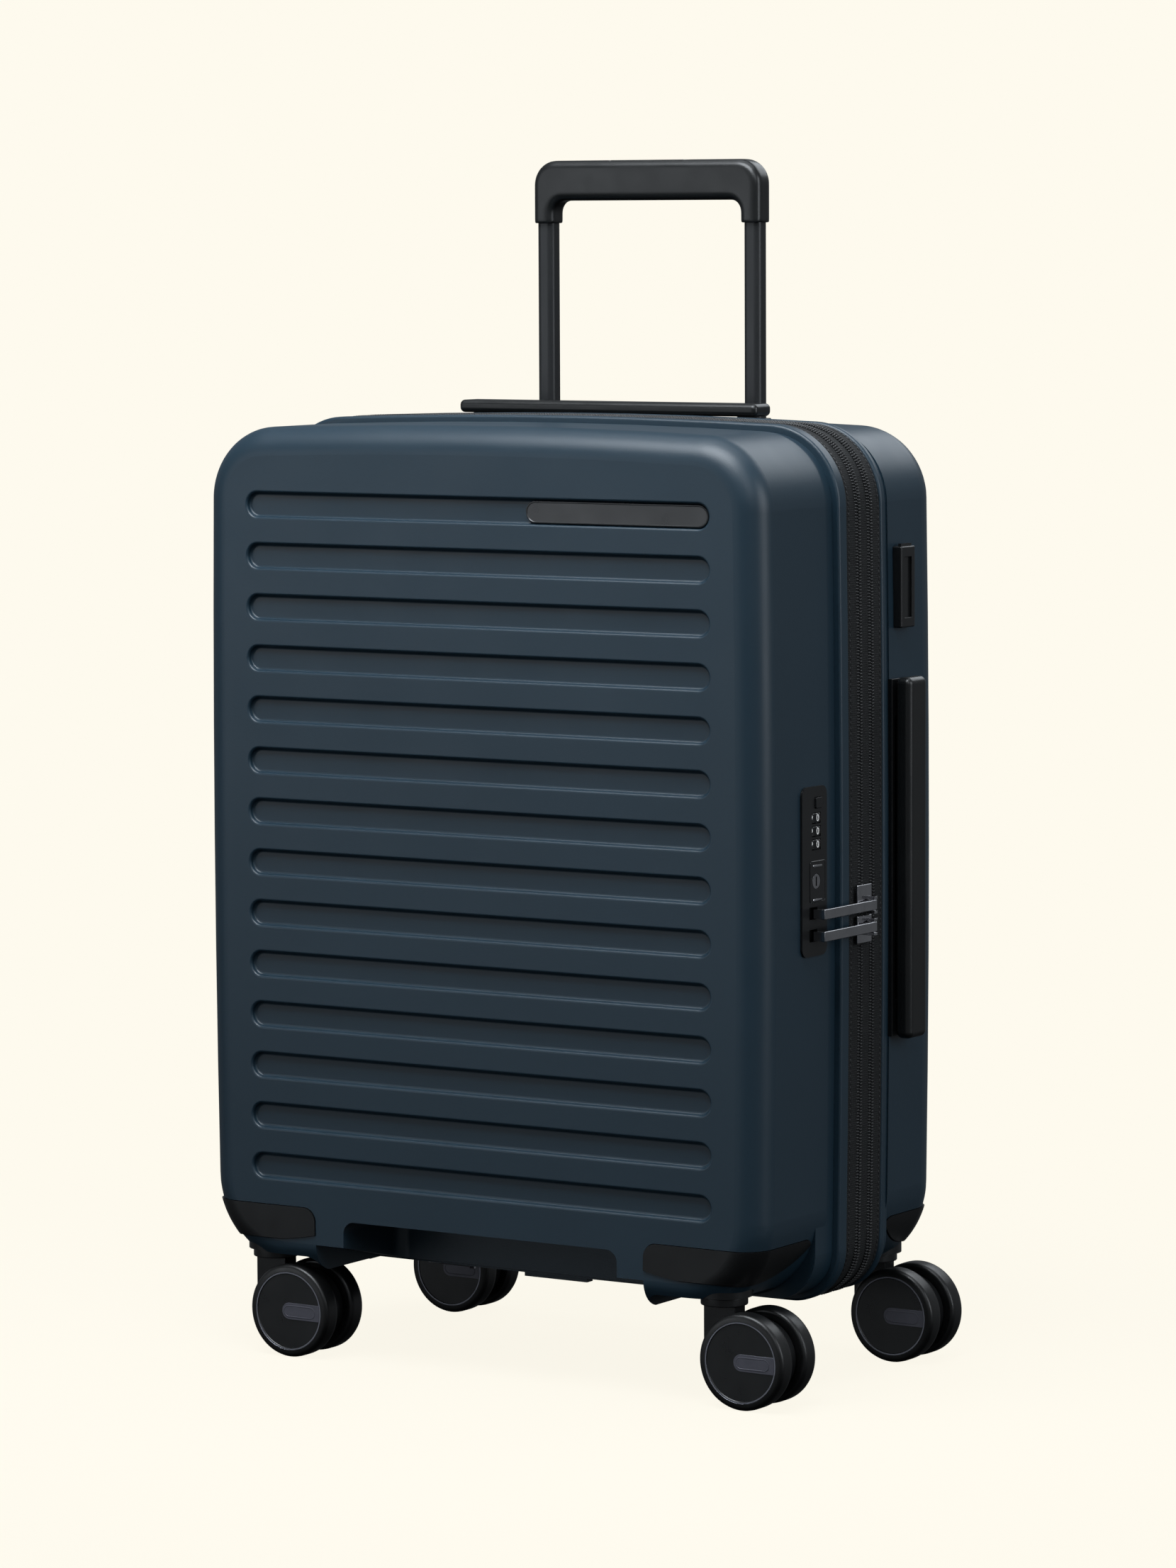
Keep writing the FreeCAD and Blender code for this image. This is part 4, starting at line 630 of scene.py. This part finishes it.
def make_lock():
    """Lock body and button with soft edges, the key plate with raised frames, and the key cylinder."""
    soft_copy("lock_body", 0.35 * MM, 2)
    soft_copy("lock_button", 0.2 * MM, 2, "gloss_black")
    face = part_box("lock_body")[1].x
    key_low, key_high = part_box("key_cylinder")
    key = (key_low + key_high) / 2
    frame_layers = [(0, -0.3 * MM), (0, 0.18 * MM), (0.15 * MM, 0.3 * MM), (0.55 * MM, 0.3 * MM),
                    (0.65 * MM, 0.12 * MM)]
    panel = round_box((key.y - 7.0 * MM, key.z - 11.6 * MM), (key.y + 9.6 * MM, key.z + 11.2 * MM), 1.6 * MM)
    plate = on_side("lock_key_panel", panel, face, frame_layers, "gloss_black", "front_half")
    cutter_mesh = bpy.data.meshes.new("key_hole_tool")
    made = bmesh.new()
    turned = Matrix.Translation(key) @ Matrix.Rotation(math.pi / 2, 4, "Y")
    bmesh.ops.create_cone(made, cap_ends=True, segments=48, radius1=4.3 * MM, radius2=4.3 * MM,
                          depth=60 * MM, matrix=turned)
    made.to_mesh(cutter_mesh)
    made.free()
    cutter = bpy.data.objects.new("key_hole_tool", cutter_mesh)
    SCENE.collection.objects.link(cutter)
    hole = plate.modifiers.new("key_hole", "BOOLEAN")
    hole.object = cutter
    hole.solver = "EXACT"
    bpy.context.view_layer.update()
    graph = bpy.context.evaluated_depsgraph_get()
    plate.data = bpy.data.meshes.new_from_object(plate.evaluated_get(graph))
    plate.modifiers.clear()
    bpy.data.objects.remove(cutter)
    for i, z in enumerate((key_low.z - 6.2 * MM, key_high.z + 4.4 * MM)):
        bar = stadium(key.y - 3.6 * MM, key.y + 5.8 * MM, z, 0.7 * MM, 8)
        bar_layers = [(0, 0), (0.1 * MM, 0.3 * MM), (0.3 * MM, 0.38 * MM)]
        on_side("lock_bar_%d" % i, bar, face + 0.05 * MM, bar_layers, "dark_chrome", "front_half")
    soft_copy("key_cylinder", 0.25 * MM, 2)


# ---------------------------------------------------------------- other pieces
SOFT_EDGES = {             # bevel width in millimetres
    "front_left_fork": 1.4, "front_right_fork": 1.4, "rear_left_fork": 1.4, "rear_right_fork": 1.4,
    "top_handle_tray": 0.6, "side_handle_tray": 0.6, "tag_holder": 0.4, "side_feet": 0.9,
    "upper_slider": 0.35, "lower_slider": 0.35, "expansion_slider": 0.35,
    "upper_puller": 0.9, "lower_puller": 0.9, "expansion_puller": 0.9,
    "grip_button": 0.6, "bracket_screws": 0.4, "trolley_foot_bracket": 0.8,
}


def make_soft_pieces():
    for node, width in SOFT_EDGES.items():
        soft_copy(node, width * MM, 3)


# ---------------------------------------------------------------- soft goods
def outline_of(node, plane, inset, spacing):
    """Evenly spaced points inside the outline that a node shows in the plane y = plane."""
    vertices = frame["nodes"][node].data.vertices
    flat = [(v.co.x, v.co.z) for v in vertices if abs(v.co.y - plane) < 0.1 * MM]
    hull = np.array([flat[i] for i in convex_hull_2d(flat)])
    points, normals, _, _ = even_ring(hull, spacing, 4)
    return points - normals * inset, normals


def make_binding(name, node, plane, inset, radius, body):
    """Round piping sewn along the outline of a cloth piece."""
    rows = []
    points, normals = outline_of(node, plane, inset, 5 * MM)
    for point, normal in zip(points, normals):
        row = []
        for i in range(10):
            turn = 2 * math.pi * i / 10
            rise, along = radius * math.cos(turn), radius * math.sin(turn)
            row.append((point[0] + normal[0] * rise, plane + along, point[1] + normal[1] * rise))
        rows.append(row)
    return add_piece(name, fix_normals(grid_mesh(name, rows, "webbing")), body)


def cloth_copy(node, longest, shift, material):
    """Finely divided copy of a cloth node, moved point by point by shift(place)."""
    made = bmesh.new()
    made.from_mesh(frame["nodes"][node].data)
    bmesh.ops.remove_doubles(made, verts=made.verts, dist=0.002 * MM)
    for _ in range(8):
        bmesh.ops.triangulate(made, faces=made.faces)
        wide = [edge for edge in made.edges if edge.calc_length() > longest]
        if not wide:
            break
        bmesh.ops.subdivide_edges(made, edges=wide, cuts=1)
    for vertex in made.verts:
        vertex.co += shift(vertex.co)
    mesh = bpy.data.meshes.new(node + "_cloth")
    made.to_mesh(mesh)
    made.free()
    mesh.materials.clear()
    mesh.materials.append(MATERIALS[material])
    mesh.polygons.foreach_set("use_smooth", [True] * len(mesh.polygons))
    mesh.set_sharp_from_angle(angle=math.radians(50))
    return add_piece(node + "_cloth", mesh, BODY_OF[node], [node])


def ripple(place, size):
    """Soft irregular folds, from -1 to 1."""
    return (math.sin(place.x / size + 1.7 * math.sin(place.z / size * 0.6))
            + math.sin(place.z / size * 0.8 + 1.3 * math.sin(place.x / size * 0.7 + 2))
            + math.sin(place.y / size * 1.4 + place.x / size * 0.5)) / 3


def make_linings():
    """Cloth trays inside the two shells, loosely wrinkled, with piping round their mouths."""
    case_low, case_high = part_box("middle_zip_band")
    middle = (case_low + case_high) / 2
    half = (case_high - case_low) / 2
    for node, shell, side in (("front_lining", "front_shell", -1), ("back_lining", "back_shell", 1)):
        low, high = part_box(node)
        floor, mouth = (low.y, high.y) if side < 0 else (high.y, low.y)

        def shift(place):
            toward = Vector((-((place.x - middle.x) / half.x) ** 9, 0, -((place.z - middle.z) / half.z) ** 9))
            toward.y = -side * max(0.0, 1 - abs(place.y - floor) / (12 * MM))
            fade = min(1.0, abs(place.y - mouth) / (8 * MM))
            return toward * fade * 1.1 * MM * (1 + ripple(place, 24 * MM))

        piece = cloth_copy(node, 13 * MM, shift, "lining")
        piping = make_binding(node + "_piping", node, mouth, 0.6 * MM, 1.1 * MM, BODY_OF[node])


def make_divider():
    """Cloth divider across the front half: a slightly slack panel, bound all round."""
    low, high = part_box("divider_panel")
    middle = (low + high) / 2
    half = (high - low) / 2

    def shift(place):
        across = max(0.0, 1 - ((place.x - middle.x) / half.x) ** 4)
        upright = max(0.0, 1 - ((place.z - middle.z) / half.z) ** 4)
        return Vector((0, across * upright * (0.7 * MM + 1.1 * MM * ripple(place, 40 * MM)), 0))

    piece = cloth_copy("divider_panel", 11 * MM, shift, "mesh_cloth")
    body = BODY_OF["divider_panel"]
    binding = make_binding("divider_binding", "divider_panel", high.y, 2.2 * MM, 1.5 * MM, body)
    for i, part in enumerate((0.30, 0.72)):
        level = low.z + (high.z - low.z) * part
        bar = stadium(middle.x - 118 * MM, middle.x + 118 * MM, level, 4.5 * MM, 8)
        layers = [(0, -0.4 * MM), (0, 0.9 * MM), (0.6 * MM, 1.3 * MM), (3.4 * MM, 1.3 * MM),
                  (4.0 * MM, 1.9 * MM)]
        mesh = plate_mesh("divider_pocket_zip_%d" % i, bar, high.y + 1.2 * MM, 1, layers, "zip_tape")
        add_piece("divider_pocket_zip_%d" % i, mesh, body)


def make_gusset():
    """Pleated cloth of the expansion zone, folded inwards behind its zip."""
    low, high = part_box("expansion_gusset")
    rise = COIL_RISE - 3.3 * MM
    outside, inside = [], []
    count = 36
    for i in range(count + 1):
        y = low.y + (high.y - low.y) * i / count
        depth = 1.5 * MM * (1 - math.cos(2 * math.pi * 3 * i / count)) / 2
        outside.append((y, rise - depth))
        inside.append((y, rise - depth - 0.5 * MM))
    mesh = sweep_band("expansion_gusset_cloth", outside + inside[::-1], "lining")
    piece = add_piece("expansion_gusset_cloth", mesh, None, ["expansion_gusset"])
    steps = case_outline(0, 4 * MM)[3]
    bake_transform(piece)


def make_hinge():
    """Cloth hinge on the left wall: a strip sewn down along both edges."""
    low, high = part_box("hinge_strip")

    def shift(place):
        across = (place.y - low.y) / (high.y - low.y)
        seam = math.exp(-((across - 0.12) / 0.05) ** 2) + math.exp(-((across - 0.88) / 0.05) ** 2)
        return Vector((0.25 * MM * seam + 0.12 * MM * math.sin(place.z / (3.1 * MM)), 0, 0))

    piece = cloth_copy("hinge_strip", 4 * MM, shift, "webbing")


def make_buckle(i, middle, back):
    """Side-release buckle of one strap: the case, the clip and the bar that holds the webbing."""
    low, high = 270 * MM, 312 * MM
    centre = (low + high) / 2
    shapes = {
        "case": ((20 * MM, centre - 12 * MM, high, 6 * MM),
                 [(1.2 * MM, 0), (0, 1.2 * MM), (0, 4.6 * MM), (1.6 * MM, 6.2 * MM)]),
        "clip": ((17.5 * MM, low, centre - 10 * MM, 5 * MM),
                 [(1.2 * MM, 0.6 * MM), (0, 1.6 * MM), (0, 4.4 * MM), (1.4 * MM, 5.6 * MM)]),
        "bar": ((13 * MM, high - 9 * MM, high - 5 * MM, 1.9 * MM),
                [(0, 5.6 * MM), (0, 6.3 * MM), (0.4 * MM, 6.5 * MM)]),
    }
    parts = []
    for label, ((half, foot, head, radius), layers) in shapes.items():
        name = "packing_buckle_%s_%d" % (label, i)
        outline = round_box((middle - half, foot), (middle + half, head), radius)
        mesh = plate_mesh(name, outline, back, -1, layers, "black_plastic")
        parts.append(add_piece(name, mesh, "back_half"))
    return parts


def make_straps():
    """Two packing straps across the rear half, each with a side-release buckle."""
    low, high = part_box("packing_straps")
    strap_y = low.y + 3.1 * MM
    half = 12.5 * MM
    replaced = ["packing_straps"]
    for i, middle in enumerate((low.x + 20 * MM, high.x - 20 * MM)):
        rows = []
        count = 156
        for step in range(count + 1):
            z = low.z + (high.z - low.z) * step / count
            slack = 0.5 * MM * math.sin(z / (37 * MM)) * math.sin(math.pi * step / count)
            twist = 0.25 * MM * math.sin(z / (51 * MM) + i)
            row = []
            for across, rise in ((-1, 0), (-0.97, 0.42), (-0.8, 0.5), (-0.76, 0.38), (-0.72, 0.5), (0, 0.56),
                                 (0.72, 0.5), (0.76, 0.38), (0.8, 0.5), (0.97, 0.42), (1, 0)):
                row.append((middle + across * half, strap_y + slack + twist * across - rise * MM, z))
            for across, rise in ((0.97, -0.42), (0, -0.5), (-0.97, -0.42)):
                row.append((middle + across * half, strap_y + slack + twist * across - rise * MM, z))
            rows.append(row)
        mesh = fix_normals(grid_mesh("packing_strap_%d" % i, rows, "webbing", closed_rows=False))
        strap = add_piece("packing_strap_%d" % i, mesh, "back_half", replaced)
        replaced = []
        parts = make_buckle(i, middle, high.y)


def make_grip():
    """Soft grip of the trolley: the CAD form with its edges rubbed round."""
    piece = soft_copy("trolley_grip", 0.1 * MM, 1)
    piece.modifiers.clear()
    shape = piece.modifiers.new("skin", "REMESH")
    shape.mode = "VOXEL"
    shape.voxel_size = 0.8 * MM
    shape.use_smooth_shade = True
    rub = piece.modifiers.new("rub", "SMOOTH")
    rub.factor = 0.5
    rub.iterations = 14


def make_name_plate():
    """Blank plate in the top groove: a thin raised rim round a slightly sunk face."""
    low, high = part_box("name_plate")
    middle, half = (low.z + high.z) / 2, (high.z - low.z) / 2
    outline = stadium(low.x, high.x, middle, half, 24)
    layers = [(0, 0), (0, 1.55 * MM), (0.35 * MM, 1.95 * MM), (0.75 * MM, 2.0 * MM), (1.1 * MM, 1.65 * MM)]
    mesh = plate_mesh("name_plate_face", outline, high.y, -1, layers, "plate")
    add_piece("name_plate_face", mesh, BODY_OF["name_plate"], ["name_plate"])


def paint_trims():
    """Materials of single nodes that differ from their slot's usual look."""
    special = {"side_handle": "soft_black", "top_handle": "soft_black"}
    for node, look in special.items():
        frame["nodes"][node].data.materials[0] = MATERIALS[look]


# ---------------------------------------------------------------- studio
BACKDROP = (0.991, 0.956, 0.855)


def make_world():
    """Pale surroundings as the camera sees them, and a dimmer soft fill for the light."""
    world = bpy.data.worlds.new("studio")
    SCENE.world = world
    world.use_nodes = True
    tree = world.node_tree
    fill = tree.nodes["Background"]
    fill.inputs["Color"].default_value = (0.90, 0.95, 1.0, 1)
    place = tree.nodes.new("ShaderNodeTexCoord")
    split = tree.nodes.new("ShaderNodeSeparateXYZ")
    tree.links.new(place.outputs["Generated"], split.inputs[0])
    level = tree.nodes.new("ShaderNodeMapRange")
    span = {"From Min": -0.55, "From Max": 0.1, "To Min": 0.012, "To Max": 0.19}
    for socket, value in span.items():
        level.inputs[socket].default_value = value
    tree.links.new(split.outputs["Z"], level.inputs["Value"])
    tree.links.new(level.outputs["Result"], fill.inputs["Strength"])
    seen = tree.nodes.new("ShaderNodeBackground")
    seen.inputs["Color"].default_value = (*BACKDROP, 1)
    path = tree.nodes.new("ShaderNodeLightPath")
    mix = tree.nodes.new("ShaderNodeMixShader")
    tree.links.new(path.outputs["Is Camera Ray"], mix.inputs[0])
    tree.links.new(fill.outputs[0], mix.inputs[1])
    tree.links.new(seen.outputs[0], mix.inputs[2])
    tree.links.new(mix.outputs[0], tree.nodes["World Output"].inputs["Surface"])


def make_floor():
    """Plain pale floor, partly self-lit so that it meets the backdrop without an edge."""
    mesh = bpy.data.meshes.new("floor")
    reach = 40.0
    mesh.from_pydata([(-reach, -reach, 0), (reach, -reach, 0), (reach, reach, 0), (-reach, reach, 0)],
                     [], [(0, 1, 2, 3)])
    floor = bpy.data.objects.new("floor", mesh)
    SCENE.collection.objects.link(floor)
    material = bpy.data.materials.new("floor")
    material.use_nodes = True
    tree = material.node_tree
    shader = tree.nodes["Principled BSDF"]
    shader.inputs["Base Color"].default_value = (0.050, 0.048, 0.043, 1)
    shader.inputs["Roughness"].default_value = 1.0
    shader.inputs["Specular IOR Level"].default_value = 0.0
    shader.inputs["Emission Color"].default_value = (*BACKDROP, 1)
    shader.inputs["Emission Strength"].default_value = 0.95
    plain = tree.nodes.new("ShaderNodeEmission")
    plain.inputs["Color"].default_value = (*BACKDROP, 1)
    place = tree.nodes.new("ShaderNodeTexCoord")
    distance = tree.nodes.new("ShaderNodeVectorMath")
    distance.operation = "LENGTH"
    tree.links.new(place.outputs["Object"], distance.inputs[0])
    fade = tree.nodes.new("ShaderNodeMapRange")
    fade.interpolation_type = "SMOOTHSTEP"
    fade.inputs["From Min"].default_value = 0.28
    fade.inputs["From Max"].default_value = 0.75
    tree.links.new(distance.outputs["Value"], fade.inputs["Value"])
    mix = tree.nodes.new("ShaderNodeMixShader")
    tree.links.new(fade.outputs["Result"], mix.inputs[0])
    tree.links.new(shader.outputs[0], mix.inputs[1])
    tree.links.new(plain.outputs[0], mix.inputs[2])
    tree.links.new(mix.outputs[0], tree.nodes["Material Output"].inputs["Surface"])
    mesh.materials.append(material)
    floor.visible_diffuse = False
    floor.visible_glossy = False


def area_light(name, place, aim, size, power, colour=(1, 1, 1)):
    light = bpy.data.lights.new(name, "AREA")
    light.shape = "RECTANGLE"
    light.size, light.size_y = size
    light.energy = power
    light.color = colour
    obj = bpy.data.objects.new(name, light)
    SCENE.collection.objects.link(obj)
    obj.location = place
    obj.rotation_euler = (Vector(aim) - Vector(place)).to_track_quat("-Z", "Y").to_euler()
    return obj


def make_lights():
    cool = (0.90, 0.95, 1.0)
    area_light("top_softbox", (0, -0.55, 1.35), (0, -0.05, 0.4), (0.9, 0.6), 16, cool)
    area_light("high_softbox", (0, -0.2, 2.2), (0, 0, 0.3), (2.0, 2.0), 19, cool)
    area_light("left_softbox", (-2.0, -2.6, 0.7), (0, 0, 0.3), (1.2, 1.2), 7, cool)
    area_light("low_softbox", (-0.8, -3.0, 0.2), (0, 0, 0.3), (2.0, 0.6), 2.5, cool)
    area_light("right_softbox", (2.5, 0.2, 1.0), (0, 0, 0.3), (1.0, 1.5), 18, cool)
    area_light("corner_softbox", (1.8, -1.6, 1.8), (0, 0, 0.3), (1.2, 1.2), 8, cool)
    area_light("back_softbox", (0.3, 1.9, 1.7), (0, 0, 0.4), (1.6, 1.0), 12, cool)


def make_camera():
    """Long-lens camera to the right of the front, a little above the case's middle."""
    data = bpy.data.cameras.new("camera")
    data.sensor_fit = "VERTICAL"
    data.sensor_height = 36
    data.lens = 138.2
    data.clip_end = 100
    camera = bpy.data.objects.new("camera", data)
    SCENE.collection.objects.link(camera)
    place = Vector((1832.29, -2841.63, 645.03)) * MM
    target = Vector((12.12, -2.23, 325.0)) * MM
    roll = -0.0046
    turned = (target - place).to_track_quat("-Z", "Y").to_matrix().to_4x4()
    camera.matrix_world = Matrix.Translation(place) @ turned @ Matrix.Rotation(roll, 4, "Z")
    SCENE.camera = camera


SCENE.view_settings.view_transform = "Standard"
paint_frame()
paint_trims()
make_zips()
make_wheels()
make_lock()
make_dials()
make_soft_pieces()
make_linings()
make_divider()
make_gusset()
make_hinge()
make_straps()
make_grip()
make_name_plate()
make_world()
make_floor()
make_lights()
make_camera()
